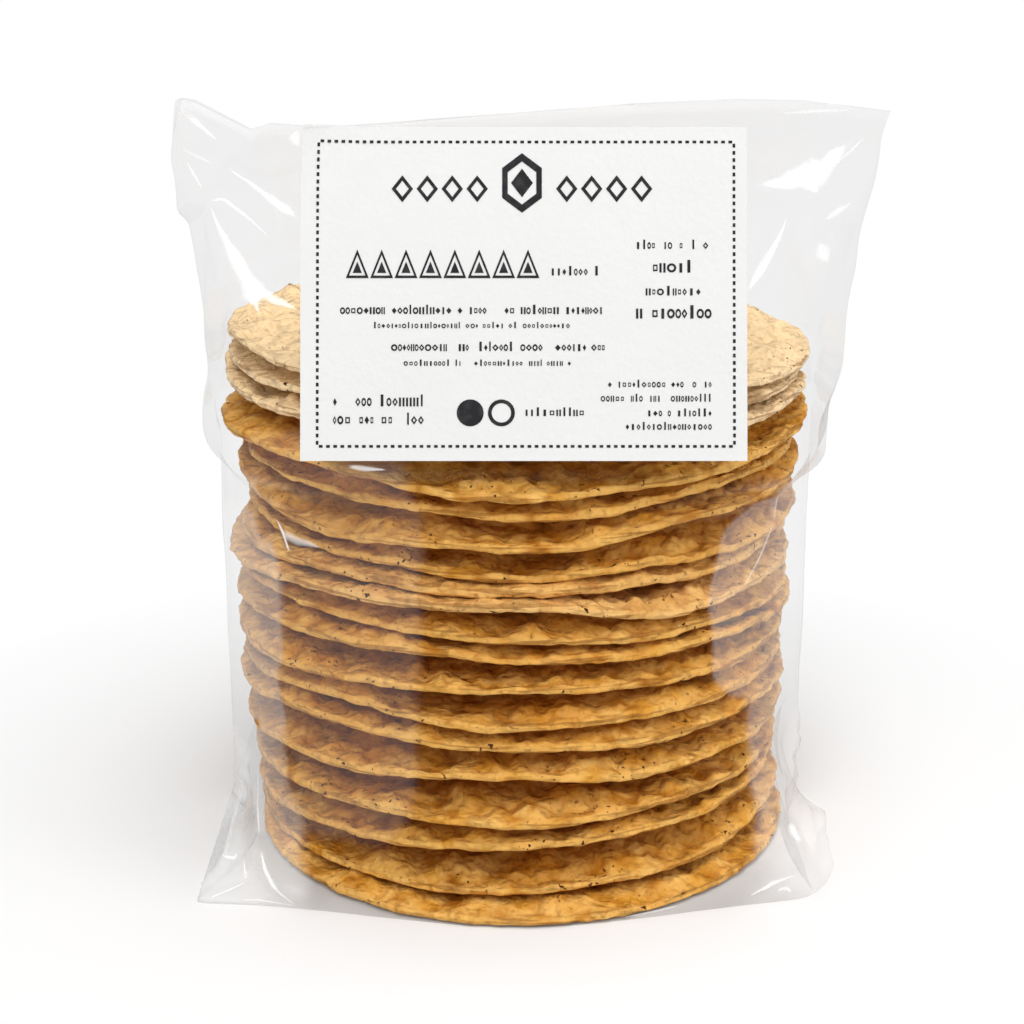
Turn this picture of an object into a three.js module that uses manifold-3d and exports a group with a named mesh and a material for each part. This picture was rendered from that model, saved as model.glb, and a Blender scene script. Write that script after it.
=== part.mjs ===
// A clear film bag that stands on its folded bottom, filled with a stack of corn tostadas,
// with a paper label on its front. Millimetres, +Z up, origin on the surface that the bag
// stands on, under the middle of the stack. The label faces -Y.
//
// The bag is one closed solid: the stack with the rim of every tostada in relief, joined to
// the space that the film encloses round and above it. The label is a thin sheet of its own.

import * as THREE from "three";
import { mergeVertices } from "three/addons/utils/BufferGeometryUtils.js";
import Module from "manifold-3d";

// ---------------------------------------------------------------- driving dimensions, mm

// Each tostada, from the lowest up: how high the lower edge of its rim lies in front, at the
// left and at the right, its radius, and how far it has slid to the right.
const TOSTADAS = [
  { front: 0.6, left: 2, right: 2, radius: 53.5, slid: -0.5 },
  { front: 5, left: 4.5, right: 9, radius: 53, slid: 0 },
  { front: 15, left: 11, right: 16.5, radius: 53.5, slid: -1 },
  { front: 19, left: 17, right: 20.5, radius: 54, slid: -1 },
  { front: 28, left: 24, right: 26.5, radius: 54.5, slid: -1 },
  { front: 34, left: 32.5, right: 33.5, radius: 55, slid: -1.5 },
  { front: 38, left: 37, right: 39, radius: 55, slid: -1.5 },
  { front: 45.5, left: 42.5, right: 44.5, radius: 55.5, slid: -1.5 },
  { front: 52, left: 50, right: 49.5, radius: 55.5, slid: -1 },
  { front: 55, left: 56.5, right: 53, radius: 55, slid: -1.5 },
  { front: 60, left: 59.5, right: 58, radius: 56.5, slid: -2 },
  { front: 63.5, left: 63, right: 64, radius: 54.5, slid: -1 },
  { front: 66.5, left: 69, right: 68, radius: 54, slid: 0.5 },
  { front: 71.5, left: 75, right: 75.5, radius: 55.5, slid: -0.5 },
  { front: 77.5, left: 79, right: 79, radius: 54.5, slid: 0 },
  { front: 81, left: 83.5, right: 82.5, radius: 57.5, slid: -1 },
  { front: 90, left: 92, right: 89.5, radius: 56.5, slid: -1 },
  { front: 94, left: 95.5, right: 92.5, radius: 56, slid: -1 },
  { front: 98.5, left: 100, right: 96, radius: 57, slid: 0 },
];
const RIM_THICK = 2.4;
const RIM_RIPPLE = 0.5;
const GAP_RADIUS = 49;
const LEAST_GAP = 0.4;
const BASE_RADIUS = 47;
const STACK_STEPS = 44;
const PRESSED = 0.8;

// The film, from the floor up. Round the stack it lies behind the rims, apart from a fold
// down each side and an ear at each corner of the foot. Over the stack it closes like a
// tent, from the topmost rim to a flat seam that leans forward.
const FILM_LEVELS = [0, 5, 10, 15, 20, 26, 45, 62, 76, 84, 89, 95, 101, 109, 118, 125, 131, 136, 141, 146];
const FILM_STEPS = 80;
const CORE_RADIUS = 48;
const EAR = { width: 60, depth: 50, corner: 9, rise: 26, angle: 38, spread: 10 };
const SIDE_FOLD = { left: 58.5, right: 57, spread: 9 };
const SHOULDER = { from: 90, left: 57, right: 58.5 };
const FRONT_PANEL = { from: 74, to: 89, corner: 4.5 };
const TENT = { from: 95, rim: 101, radius: 56, bulge: 1.15, corner: 2.2 };
const SEAM = { height: 146, left: 60, right: 63, thick: 1 };
const SEAM_LINE = { right: 148, leftDrop: 5, rightDrop: 1.7, ear: 5, earWidth: 6 };

// The label, which leans back with the film that it sticks to.
const LABEL = { width: 76, height: 57, thick: 0.4, bottom: 89.5, front: -57.4, lean: 18, middle: 0.5 };
const LABEL_CELLS = { across: 14, up: 10 };
const LABEL_GAP = 0.35;
const CURL = { across: 18, up: 15, depth: 3.5, from: 0.9, most: 1.4 };

// ---------------------------------------------------------------- helpers

const mix = (a, b, t) => a + (b - a) * t;
const clamp = (v, low, high) => Math.min(high, Math.max(low, v));
const smooth = (v, low, high) => {
  const t = clamp((v - low) / (high - low), 0, 1);
  return t * t * (3 - 2 * t);
};
const power = (v, e) => Math.sign(v) * Math.abs(v) ** e;
const leanTangent = Math.tan(THREE.MathUtils.degToRad(LABEL.lean));

// A closed skin through rings of equal length, with a fan of triangles at each end.
function skin(rings) {
  const steps = rings[0].length;
  const points = rings.flat();
  const triangles = [];
  for (let row = 0; row + 1 < rings.length; row++) {
    for (let i = 0; i < steps; i++) {
      const next = (i + 1) % steps;
      const low = row * steps;
      const high = low + steps;
      triangles.push(low + i, low + next, high + next);
      triangles.push(low + i, high + next, high + i);
    }
  }
  const last = (rings.length - 1) * steps;
  for (let i = 1; 2 * i < steps; i++) {
    const j = steps - i;
    if (i > 1) {
      triangles.push(i - 1, j + 1, i, i, j + 1, j);
      triangles.push(last + i - 1, last + i, last + j + 1, last + i, last + j, last + j + 1);
    } else {
      triangles.push(0, j, i);
      triangles.push(last, last + i, last + j);
    }
  }
  const half = steps / 2;
  triangles.push(half - 1, half + 1, half);
  triangles.push(last + half - 1, last + half, last + half + 1);
  const geometry = new THREE.BufferGeometry();
  geometry.setAttribute("position", new THREE.Float32BufferAttribute(points.flat(), 3));
  geometry.setIndex(triangles);
  return geometry;
}

function toSolid(wasm, geometry) {
  const merged = mergeVertices(geometry, 1e-4);
  return new wasm.Manifold(
    new wasm.Mesh({
      numProp: 3,
      vertProperties: Float32Array.from(merged.getAttribute("position").array),
      triVerts: Uint32Array.from(merged.index.array),
    }),
  );
}

function toGeometry(solid) {
  const mesh = solid.getMesh();
  const geometry = new THREE.BufferGeometry();
  geometry.setAttribute("position", new THREE.Float32BufferAttribute(mesh.vertProperties, 3));
  geometry.setIndex(Array.from(mesh.triVerts));
  geometry.computeVertexNormals();
  return geometry;
}

// ---------------------------------------------------------------- the stack of tostadas

// Height of a tostada's lower edge at an angle, with a ripple of its own.
function edgeHeight(tostada, order, angle) {
  const side = Math.cos(angle);
  const bow = (tostada.left + tostada.right) / 2 - tostada.front;
  const tilt = (tostada.right - tostada.left) / 2;
  const ripple = RIM_RIPPLE * Math.sin(3 * angle + 2.1 * order) + RIM_RIPPLE * Math.sin(5 * angle - 1.3 * order);
  return Math.max(tostada.front + bow * side * side + tilt * side + ripple, 0.5);
}

function edgeRadius(tostada, order, angle) {
  return tostada.radius + 0.5 * Math.sin(2 * angle + 1.7 * order) + tostada.slid * Math.cos(angle);
}

// Rings of the stack: in and out at every rim, and inwards at the gap above it.
function stackRings() {
  const angles = Array.from({ length: STACK_STEPS }, (_, i) => (2 * Math.PI * i) / STACK_STEPS);
  const ring = (radius, height) => angles.map((a, i) => {
    const x = radius(a, i) * Math.cos(a);
    const z = height(a, i);
    const y = radius(a, i) * Math.sin(a);
    return [x, z > LABEL.bottom - 4 ? Math.max(y, frontAt(x, z) + PRESSED) : y, z];
  });
  const rings = [ring(() => BASE_RADIUS, () => 0)];
  let tops = angles.map(() => 0);
  TOSTADAS.forEach((tostada, order) => {
    const bottoms = angles.map((a, i) => Math.max(edgeHeight(tostada, order, a), tops[i] + LEAST_GAP));
    const radius = (a) => edgeRadius(tostada, order, a);
    if (order > 0) {
      const below = tops;
      rings.push(ring(() => GAP_RADIUS, (a, i) => (below[i] + bottoms[i]) / 2));
    }
    rings.push(ring(radius, (a, i) => bottoms[i]));
    tops = bottoms.map((z) => z + RIM_THICK);
    const upper = tops;
    rings.push(ring(radius, (a, i) => upper[i]));
  });
  const lid = tops;
  rings.push(ring(() => BASE_RADIUS, (a, i) => lid[i] + 0.5));
  return rings;
}

// ---------------------------------------------------------------- the film

// How far the top left corner of the front bends back. The film sinks a little more.
const FILM_CURL_EXTRA = 0.3;

function curlBack(x, z) {
  const left = LABEL.middle - LABEL.width / 2;
  const top = LABEL.bottom + LABEL.height * Math.cos(THREE.MathUtils.degToRad(LABEL.lean));
  const across = (left - x) / CURL.across + 1;
  const up = (z - top) / CURL.up + 1;
  return CURL.depth * clamp(across + up - CURL.from, 0, CURL.most) ** 2;
}

function frontAt(x, z) {
  return LABEL.front + Math.max(z - LABEL.bottom, 0) * leanTangent + curlBack(x, z);
}

// The line of the top seam: lower towards the left, with a small ear at the left end.
function seamHeight(x) {
  const along = (x + SEAM.left) / (SEAM.left + SEAM.right);
  const ear = SEAM_LINE.ear * Math.exp(-(((x + SEAM.left) / SEAM_LINE.earWidth) ** 2));
  const left = SEAM_LINE.leftDrop * (1 - smooth(along, 0, 0.8));
  const right = SEAM_LINE.rightDrop * smooth(along, 0.85, 1);
  return SEAM_LINE.right - left - right + ear;
}

const bell = (degrees, middle, spread) => Math.exp(-(((degrees - middle) / spread) ** 2));
const squared = (angle, width, depth, corner) => [
  width * power(Math.cos(angle), 2 / corner),
  depth * power(Math.sin(angle), 2 / corner),
];

// Round the stack: a core with a fold down each side and an ear at each corner of the foot.
function lowerPoint(angle, level) {
  const right = Math.cos(angle) > 0;
  const fromSide = THREE.MathUtils.radToDeg(Math.asin(Math.abs(Math.sin(angle))));
  const fold = bell(fromSide, 0, SIDE_FOLD.spread) * ((right ? SIDE_FOLD.right : SIDE_FOLD.left) - CORE_RADIUS);
  const ear = bell(fromSide, EAR.angle, EAR.spread) * Math.max(0, 1 - level / EAR.rise);
  const [cornerX, cornerY] = squared(angle, EAR.width, EAR.depth, EAR.corner);
  const x = (CORE_RADIUS + fold) * Math.cos(angle);
  const y = (CORE_RADIUS + fold) * Math.sin(angle);
  return [mix(x, cornerX, ear), mix(y, cornerY, ear)];
}

// Over the stack: from the topmost rim and the flat front to the seam.
function upperPoint(angle, level) {
  const right = Math.cos(angle) > 0;
  const behind = Math.sin(angle) > 0;
  const closing = smooth(level, TENT.rim, SEAM.height);
  const rise = clamp((level - TENT.rim) / (SEAM.height - TENT.rim), 0, 1);
  const seamFront = LABEL.front + (SEAM.height - LABEL.bottom) * leanTangent;
  const rim = mix(CORE_RADIUS, TENT.radius, smooth(level, TENT.from, TENT.rim));
  const back = mix(rim, seamFront + SEAM.thick, rise ** TENT.bulge);
  const front = mix(LABEL.front - 3, seamFront, closing);
  const shoulder = right ? SHOULDER.right : SHOULDER.left;
  const width = mix(shoulder, right ? SEAM.right : SEAM.left, smooth(level, TENT.rim, SEAM.height - 10));
  const corner = behind ? mix(2, TENT.corner, closing) : mix(FRONT_PANEL.corner, TENT.corner, closing);
  const [x, y] = squared(angle, width, (back - front) / 2, corner);
  return [x, (back + front) / 2 + y];
}

function filmRing(level) {
  const points = [];
  for (let i = 0; i < FILM_STEPS; i++) {
    const angle = (2 * Math.PI * i) / FILM_STEPS;
    const behind = Math.sin(angle) > 0;
    const low = lowerPoint(angle, level);
    const high = upperPoint(angle, level);
    const panel = smooth(level, FRONT_PANEL.from, FRONT_PANEL.to);
    const change = behind ? smooth(level, TENT.from, TENT.rim) : panel;
    const sideways = smooth(Math.abs(Math.cos(angle)), 0.8, 0.97);
    const widening = mix(change, smooth(level, SHOULDER.from, TENT.rim), sideways);
    const x = mix(low[0], high[0], widening);
    const y = mix(low[1], high[1], change);
    const z = level + (seamHeight(x) - SEAM.height) * smooth(level, TENT.rim, SEAM.height);
    const pane = behind ? y : Math.max(y, frontAt(x, z) + FILM_CURL_EXTRA * curlBack(x, z));
    points.push([x, mix(y, pane, panel), z]);
  }
  return points;
}

// ---------------------------------------------------------------- the label

// Front and back of the sheet as grids of points, joined round the edge.
function labelGeometry() {
  const { across, up } = LABEL_CELLS;
  const lean = THREE.MathUtils.degToRad(LABEL.lean);
  const left = LABEL.middle - LABEL.width / 2;
  const points = [];
  const triangles = [];
  const index = (layer, i, j) => layer * (across + 1) * (up + 1) + j * (across + 1) + i;
  for (const offset of [LABEL_GAP + LABEL.thick, LABEL_GAP]) {
    for (let j = 0; j <= up; j++) {
      for (let i = 0; i <= across; i++) {
        const x = left + (LABEL.width * i) / across;
        const z = LABEL.bottom + ((LABEL.height * j) / up) * Math.cos(lean);
        points.push([x, frontAt(x, z) - offset / Math.cos(lean), z]);
      }
    }
  }
  const quad = (a, b, c, d) => triangles.push(a, b, c, a, c, d);
  for (let j = 0; j < up; j++) {
    for (let i = 0; i < across; i++) {
      quad(index(0, i, j), index(0, i + 1, j), index(0, i + 1, j + 1), index(0, i, j + 1));
      quad(index(1, i, j), index(1, i, j + 1), index(1, i + 1, j + 1), index(1, i + 1, j));
    }
  }
  for (let i = 0; i < across; i++) {
    quad(index(0, i, 0), index(1, i, 0), index(1, i + 1, 0), index(0, i + 1, 0));
    quad(index(0, i, up), index(0, i + 1, up), index(1, i + 1, up), index(1, i, up));
  }
  for (let j = 0; j < up; j++) {
    quad(index(0, 0, j), index(0, 0, j + 1), index(1, 0, j + 1), index(1, 0, j));
    quad(index(0, across, j), index(1, across, j), index(1, across, j + 1), index(0, across, j + 1));
  }
  const geometry = new THREE.BufferGeometry();
  geometry.setAttribute("position", new THREE.Float32BufferAttribute(points.flat(), 3));
  geometry.setIndex(triangles);
  geometry.computeVertexNormals();
  return geometry;
}

// ---------------------------------------------------------------- the part

const wasm = await Module();
wasm.setup();

const stack = toSolid(wasm, skin(stackRings()));
const film = toSolid(wasm, skin(FILM_LEVELS.map(filmRing)));

const toasted = new THREE.MeshStandardMaterial({ color: 0xc79a56, roughness: 0.6, metalness: 0 });
const paper = new THREE.MeshStandardMaterial({ color: 0xf4f4f1, roughness: 0.7, metalness: 0 });

const bag = new THREE.Mesh(toGeometry(stack.add(film)), toasted);
bag.name = "bag";

const label = new THREE.Mesh(labelGeometry(), paper);
label.name = "label";

const group = new THREE.Group();
group.add(bag, label);

export default group;
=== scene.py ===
# %% [markdown]
# # A clear bag of stacked corn tostadas
# The real thing is a film bag that stands on its folded foot. A stack of wavy tostadas
# fills it, and a stiff paper label is stuck on the front. This lesson dresses the CAD
# model: real tostadas and a real film take the place of the plain solid, and the label
# gets its paper and its print. All lengths below are in millimetres, and each mesh is
# brought to metres when it is made.

# %% Load the frame
import math
import random

import bpy
import numpy as np
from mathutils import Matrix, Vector, noise
from mathutils.bvhtree import BVHTree


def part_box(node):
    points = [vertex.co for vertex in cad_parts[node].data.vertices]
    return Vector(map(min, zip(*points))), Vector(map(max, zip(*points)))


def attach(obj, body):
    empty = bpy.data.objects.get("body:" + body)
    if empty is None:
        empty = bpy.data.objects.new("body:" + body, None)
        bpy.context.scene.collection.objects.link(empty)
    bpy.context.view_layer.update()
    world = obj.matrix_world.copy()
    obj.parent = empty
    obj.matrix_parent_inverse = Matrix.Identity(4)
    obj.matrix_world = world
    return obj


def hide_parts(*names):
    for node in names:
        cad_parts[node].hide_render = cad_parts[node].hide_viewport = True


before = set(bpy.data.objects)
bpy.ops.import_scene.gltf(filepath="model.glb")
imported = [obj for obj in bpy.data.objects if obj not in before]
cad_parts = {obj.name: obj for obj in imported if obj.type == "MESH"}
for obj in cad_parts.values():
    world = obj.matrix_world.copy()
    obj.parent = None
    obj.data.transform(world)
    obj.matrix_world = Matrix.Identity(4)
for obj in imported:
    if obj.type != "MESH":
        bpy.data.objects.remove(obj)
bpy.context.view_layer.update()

MM = 0.001


def table(names, rows):
    """Rows of facts, each turned into a dictionary under these names."""
    return [dict(zip(names, row)) for row in rows]


# %% [markdown]
# ## The camera and the light
# The photo looks a little down on the bag from about an arm's length, and the whole room
# is white. The camera comes first, because it frames every later judgement. The light is
# a white world with a large soft key, high in front: it lights the faces near their rims.
# A broad sky light from above leaves the soft dark line where the stack meets the floor.

# %% Camera
PHOTO_SIDE = 1024
FOCAL_PX = 1940
SENSOR = 36.0
CAMERA_PLACE = (-1.5, -376.0, 177.0)
CAMERA_DOWN = 16.9

camera_data = bpy.data.cameras.new("camera")
camera_data.sensor_width = SENSOR
camera_data.lens = SENSOR * FOCAL_PX / PHOTO_SIDE
camera_data.clip_start = 0.01
camera = bpy.data.objects.new("camera", camera_data)
camera.location = [v * MM for v in CAMERA_PLACE]
camera.rotation_euler = (math.radians(90 - CAMERA_DOWN), 0, 0)
bpy.context.scene.collection.objects.link(camera)
bpy.context.scene.camera = camera
bpy.context.scene.view_settings.view_transform = "Standard"
bpy.context.scene.cycles.transparent_max_bounces = 18
bpy.context.scene.cycles.diffuse_bounces = 3
bpy.context.scene.cycles.glossy_bounces = 2
print("lens, mm:", round(camera_data.lens, 1))

# %% Lamps and floor
BACKDROP = 1.0
ROOM_LIGHT = 0.36
LAMPS = {
    "key": {"place": (-120, -640, 640), "size": 420, "watts": 3.5},
    "side": {"place": (460, -200, 330), "size": 220, "watts": 0.9},
}
LAMP_AIM = (0, 0, 70)
SKY_LIGHT = {"strength": 1.5, "spread": 50.0, "from": (0.1, -0.25, 1.6)}


def add_lamp(name, place, size, watts):
    data = bpy.data.lights.new(name, "AREA")
    data.size = size * MM
    data.energy = watts
    lamp = bpy.data.objects.new(name, data)
    lamp.location = [v * MM for v in place]
    aim = Vector(LAMP_AIM) - Vector(place)
    lamp.rotation_euler = aim.to_track_quat("-Z", "Y").to_euler()
    bpy.context.scene.collection.objects.link(lamp)


for lamp_name, lamp_facts in LAMPS.items():
    add_lamp(lamp_name, **lamp_facts)

sky_data = bpy.data.lights.new("sky", "SUN")
sky_data.energy = SKY_LIGHT["strength"]
sky_data.angle = math.radians(SKY_LIGHT["spread"])
sky = bpy.data.objects.new("sky", sky_data)
sky.rotation_euler = Vector(SKY_LIGHT["from"]).to_track_quat("Z", "Y").to_euler()
bpy.context.scene.collection.objects.link(sky)

world = bpy.data.worlds.new("white_room")
world.use_nodes = True
room = world.node_tree
background = room.nodes["Background"]
background.inputs["Color"].default_value = (1, 1, 1, 1)
seen = room.nodes.new("ShaderNodeLightPath").outputs["Is Camera Ray"]
strength = room.nodes.new("ShaderNodeMapRange")
strength.inputs["To Min"].default_value = ROOM_LIGHT
strength.inputs["To Max"].default_value = BACKDROP
room.links.new(seen, strength.inputs["Value"])
room.links.new(strength.outputs["Result"], background.inputs["Strength"])
bpy.context.scene.world = world

bpy.ops.mesh.primitive_plane_add(size=30.0)
floor = bpy.context.active_object
floor.name = "floor"
print(len(LAMPS), "soft lamps and a broad sky light")

# %% [markdown]
# ## Small tools for shader and geometry nodes
# Every material and every Geometry Nodes tree below is built in code. A short helper adds
# a node, sets its inputs by name and links what is itself a socket, so that each finish
# reads as a list of steps. Corn, paper and ink all need soft irregular patches, so these
# are one shader node group that puts out a mask.

# %% Node helper
def add_node(tree, kind, inputs=None, **settings):
    node = tree.nodes.new(kind)
    for key, value in settings.items():
        setattr(node, key, value)
    for key, value in (inputs or {}).items():
        socket = node.inputs[key]
        if isinstance(value, bpy.types.NodeSocket):
            tree.links.new(value, socket)
        else:
            socket.default_value = value
    return node


def new_material(name):
    material = bpy.data.materials.new(name)
    material.use_nodes = True
    material.node_tree.nodes.clear()
    return material, material.node_tree


def to_surface(tree, surface):
    tree.links.new(surface, tree.nodes.new("ShaderNodeOutputMaterial").inputs["Surface"])


def object_place(tree):
    return add_node(tree, "ShaderNodeTexCoord").outputs["Object"]


def attribute(tree, name):
    return add_node(tree, "ShaderNodeAttribute", attribute_name=name).outputs["Fac"]


def blend_colors(tree, amount, first, second):
    node = tree.nodes.new("ShaderNodeMix")
    node.data_type = "RGBA"
    colors = [s for s in node.inputs if s.type == "RGBA"]
    for socket, value in ((node.inputs[0], amount), (colors[0], first), (colors[1], second)):
        if isinstance(value, bpy.types.NodeSocket):
            tree.links.new(value, socket)
        else:
            socket.default_value = value
    return [s for s in node.outputs if s.type == "RGBA"][0]


def between(tree, value, low, high, to_low=0.0, to_high=1.0):
    node = add_node(tree, "ShaderNodeMapRange", {"Value": value, "From Min": low, "From Max": high,
                                                 "To Min": to_low, "To Max": to_high})
    return node.outputs["Result"]


def compute(tree, operation, first, second):
    node = tree.nodes.new("ShaderNodeMath")
    node.operation = operation
    for socket, value in zip(node.inputs, (first, second)):
        if isinstance(value, bpy.types.NodeSocket):
            tree.links.new(value, socket)
        else:
            socket.default_value = value
    return node.outputs["Value"]


def tree_input(tree, name, kind, value):
    socket = tree.interface.new_socket(name=name, in_out="INPUT", socket_type=kind)
    if value is not None:
        socket.default_value = value
    return socket.identifier


def mottle_group():
    """A shader node group: soft irregular patches as a mask, for every material that needs them."""
    group = bpy.data.node_groups.new("mottle", "ShaderNodeTree")
    for name, kind, value in (
        ("Place", "NodeSocketVector", None), ("Scale", "NodeSocketFloat", 100.0), ("Detail", "NodeSocketFloat", 2.0),
        ("Low", "NodeSocketFloat", 0.4), ("High", "NodeSocketFloat", 0.6),
    ):
        tree_input(group, name, kind, value)
    group.interface.new_socket(name="Mask", in_out="OUTPUT", socket_type="NodeSocketFloat")
    inside = group.nodes.new("NodeGroupInput").outputs
    cloud = add_node(group, "ShaderNodeTexNoise", {name: inside[name] for name in ("Scale", "Detail")})
    group.links.new(inside["Place"], cloud.inputs["Vector"])
    mask = between(group, cloud.outputs["Fac"], inside["Low"], inside["High"])
    group.links.new(mask, group.nodes.new("NodeGroupOutput").inputs["Mask"])
    return group


def mottle(tree, place, scale, low, high, detail=1.0):
    return add_node(tree, "ShaderNodeGroup", {"Place": place, "Scale": scale, "Detail": detail, "Low": low,
                                              "High": high}, node_tree=patches).outputs["Mask"]


def share_of(tree, mask, share):
    return compute(tree, "MULTIPLY", mask, share)


patches = mottle_group()
print("mottle group has", len(patches.nodes), "nodes")

# %% [markdown]
# ## The shape of the stack
# Nineteen corn tostadas lie on each other. None is flat: each fried disc has bowed and
# tilted in its own way, so the gaps open and close round the stack. They could be stacked
# by a simulation, but stiff crisp discs hardly bend, so it is truer to state how high each
# rim lies in front, at the left and at the right, and to let each lie on the one below.

# %% The tostadas, from the lowest up
TOSTADAS = table(("left", "front_left", "front", "front_right", "right", "radius", "slid", "forward"), [
    (0.8, 0.6, 0.4, 0.6, 0.9, 53.6, 0.8, 3.6),
    (4.3, 3.9, 4.0, 6.0, 8.2, 53.0, 0.0, 0.0),
    (9.0, 11.8, 14.5, 14.8, 16.0, 53.5, -1.0, 0.0),
    (15.5, 19.3, 18.7, 19.2, 20.0, 54.0, -1.0, 0.0),
    (23.4, 26.7, 27.8, 26.2, 26.0, 54.5, -1.0, 0.0),
    (32.0, 34.8, 33.8, 33.1, 32.5, 55.0, -1.5, 0.0),
    (35.5, 40.2, 38.0, 38.4, 38.0, 55.0, -1.5, 0.0),
    (42.0, 44.6, 45.6, 44.2, 42.5, 55.5, -1.5, 0.0),
    (49.8, 51.6, 51.2, 50.0, 48.0, 55.5, -1.0, 0.0),
    (55.5, 56.5, 54.4, 53.3, 52.3, 55.0, -1.5, 0.0),
    (58.5, 61.3, 61.0, 58.2, 57.4, 56.5, -2.0, 0.0),
    (63.0, 63.8, 63.6, 63.4, 62.8, 54.5, -1.0, 0.0),
    (68.5, 67.4, 65.9, 66.6, 67.6, 54.0, 0.5, 0.0),
    (75.4, 71.6, 71.6, 75.0, 76.2, 55.5, -0.5, 0.0),
    (79.5, 79.0, 77.5, 79.4, 80.4, 54.5, 0.0, 0.0),
    (85.0, 85.0, 81.2, 82.8, 86.0, 57.5, -1.0, 0.0),
    (93.5, 92.5, 90.5, 90.5, 91.0, 56.5, -1.0, 0.0),
    (97.0, 96.5, 94.5, 94.0, 94.0, 56.0, -1.0, 0.0),
    (102.0, 101.0, 99.5, 97.8, 97.0, 57.0, 0.0, 0.0),
])
RIM_THICK = 1.7
RIM_RIPPLE = 0.3
LEAST_GAP = 0.3
LEAST_HEIGHT = 0.2
BACK_BOW = 0.5
OUT_OF_ROUND = 0.5
PRESSED = 0.8
PRESSED_BELOW_LABEL = 4
AROUND = 440
SPOTS = {"left": 180, "front_left": 237, "front": 270, "front_right": 303, "right": 360}


def smooth(value, low, high):
    t = np.clip((value - low) / (high - low), 0, 1)
    return t * t * (3 - 2 * t)


def mix(first, second, amount):
    return first + (second - first) * amount


def edge_height(tostada, order, angle):
    """Through the five stated heights in front, and back round from right to left behind."""
    degrees = np.degrees(angle) % 360
    stops = np.array(list(SPOTS.values()))
    heights = [tostada[name] for name in SPOTS]
    height = np.full_like(degrees, 0.0)
    for first, second, low, high in zip(stops, stops[1:], heights, heights[1:]):
        here = (degrees >= first) & (degrees <= second)
        height = np.where(here, mix(low, high, smooth(degrees, first, second)), height)
    back = mix(heights[-1], heights[0], smooth(degrees, 0, 180))
    bow = tostada["front"] - (heights[0] + heights[-1]) / 2
    back = back + bow * BACK_BOW * np.sin(np.radians(degrees)) ** 2
    height = np.where(degrees < 180, back, height)
    ripple = RIM_RIPPLE * (np.sin(4 * angle + 2.1 * order) + np.sin(7 * angle - 1.3 * order))
    return np.maximum(height + ripple * (order > 0), LEAST_HEIGHT)


def edge_radius(tostada, order, angle):
    moved = tostada["slid"] * np.cos(angle) - tostada["forward"] * np.sin(angle)
    return tostada["radius"] + OUT_OF_ROUND * np.sin(2 * angle + 1.7 * order) + moved


def rim_heights(angles):
    """Lower edge of every rim at these angles: each rests on the one below."""
    heights = []
    tops = np.zeros_like(angles)
    for order, tostada in enumerate(TOSTADAS):
        bottoms = np.maximum(edge_height(tostada, order, angles), tops + LEAST_GAP)
        heights.append(bottoms)
        tops = bottoms + RIM_THICK
    return np.array(heights)


around = np.linspace(0, 2 * math.pi, AROUND, endpoint=False)
rims = rim_heights(around)
print("top of the stack, mm:", round(float(rims[-1].max() + RIM_THICK), 1))

# %% [markdown]
# ## The front panel
# The label is stiff paper, so it holds the film behind it in one flat panel that leans
# back with it. Only its top left corner curls away. The same short formula places the
# film, the label's print and the topmost rims, which the panel presses back.

# %% Front panel
LABEL = {"width": 76.0, "height": 57.0, "thick": 0.4, "bottom": 89.5, "front": -57.4, "lean": 18.0, "middle": 0.5}
LABEL_GAP = 0.35
CURL = {"across": 18.0, "up": 15.0, "depth": 3.5, "from": 0.9, "most": 1.4}
LEAN = math.radians(LABEL["lean"])
LABEL_LEFT = LABEL["middle"] - LABEL["width"] / 2
LABEL_TOP = LABEL["bottom"] + LABEL["height"] * math.cos(LEAN)


def curl_back(x, z):
    across = (LABEL_LEFT - x) / CURL["across"] + 1
    up = (z - LABEL_TOP) / CURL["up"] + 1
    return CURL["depth"] * np.clip(across + up - CURL["from"], 0, CURL["most"]) ** 2


def front_at(x, z):
    return LABEL["front"] + np.maximum(z - LABEL["bottom"], 0) * math.tan(LEAN) + curl_back(x, z)


label_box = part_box("label")
print("label, mm:", [round((b - a) / MM, 1) for a, b in zip(*label_box)])

# %% [markdown]
# ## One tostada
# A tostada is a thin disc with a thick rounded lip and a blistered face. The plain disc
# is made here ring by ring. Its own attributes say how near the edge each point lies and
# how far relief may push it, so that a blister never reaches into the next tostada.

# %% Plain disc
FACE_RINGS = 31
LIP_STEPS = 7
FACE_CURVE = 2.2
LIP_PROUD = 0.08
CENTRE_RISE = 3.6
EDGE_WOBBLE = 0.35
EDGE_NIBBLE = 0.50
LAYERS = {"depth": 0.38, "cell": 3.2, "step": 11}
RIM_NOISE = {"wobble": (1, 7.0), "fine_wobble": (91, 2.4), "nibble": (51, 6.0), "fine_nibble": (71, 2.2),
             "thick": (31, 9.0), "fine_thick": (41, 3.0)}
FINE_SHARE = 0.6
THICKNESS = {"least": 0.95, "thick": 0.35, "fine_thick": 0.25}
FREE_ABOVE = 4.0
EDGE_BAND = 14.0
RING_CROWDING = 1.4
RELIEF = {"least": 0.3, "per_gap": 0.5, "most": 1.6, "under": 0.3, "at_edge": 0.25, "grows_over": 0.045}
LIP = {"proud_over": 0.025, "square": 0.75, "relief": 0.15}


def noise_round(angles, radius, seed, cell):
    """Smooth noise along a rim, in -1 to 1, with lumps about one cell long."""
    spots = [Vector((radius * math.cos(a), radius * math.sin(a), 40.0 * seed)) / cell for a in angles]
    return np.array([noise.noise(spot) for spot in spots])


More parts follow.
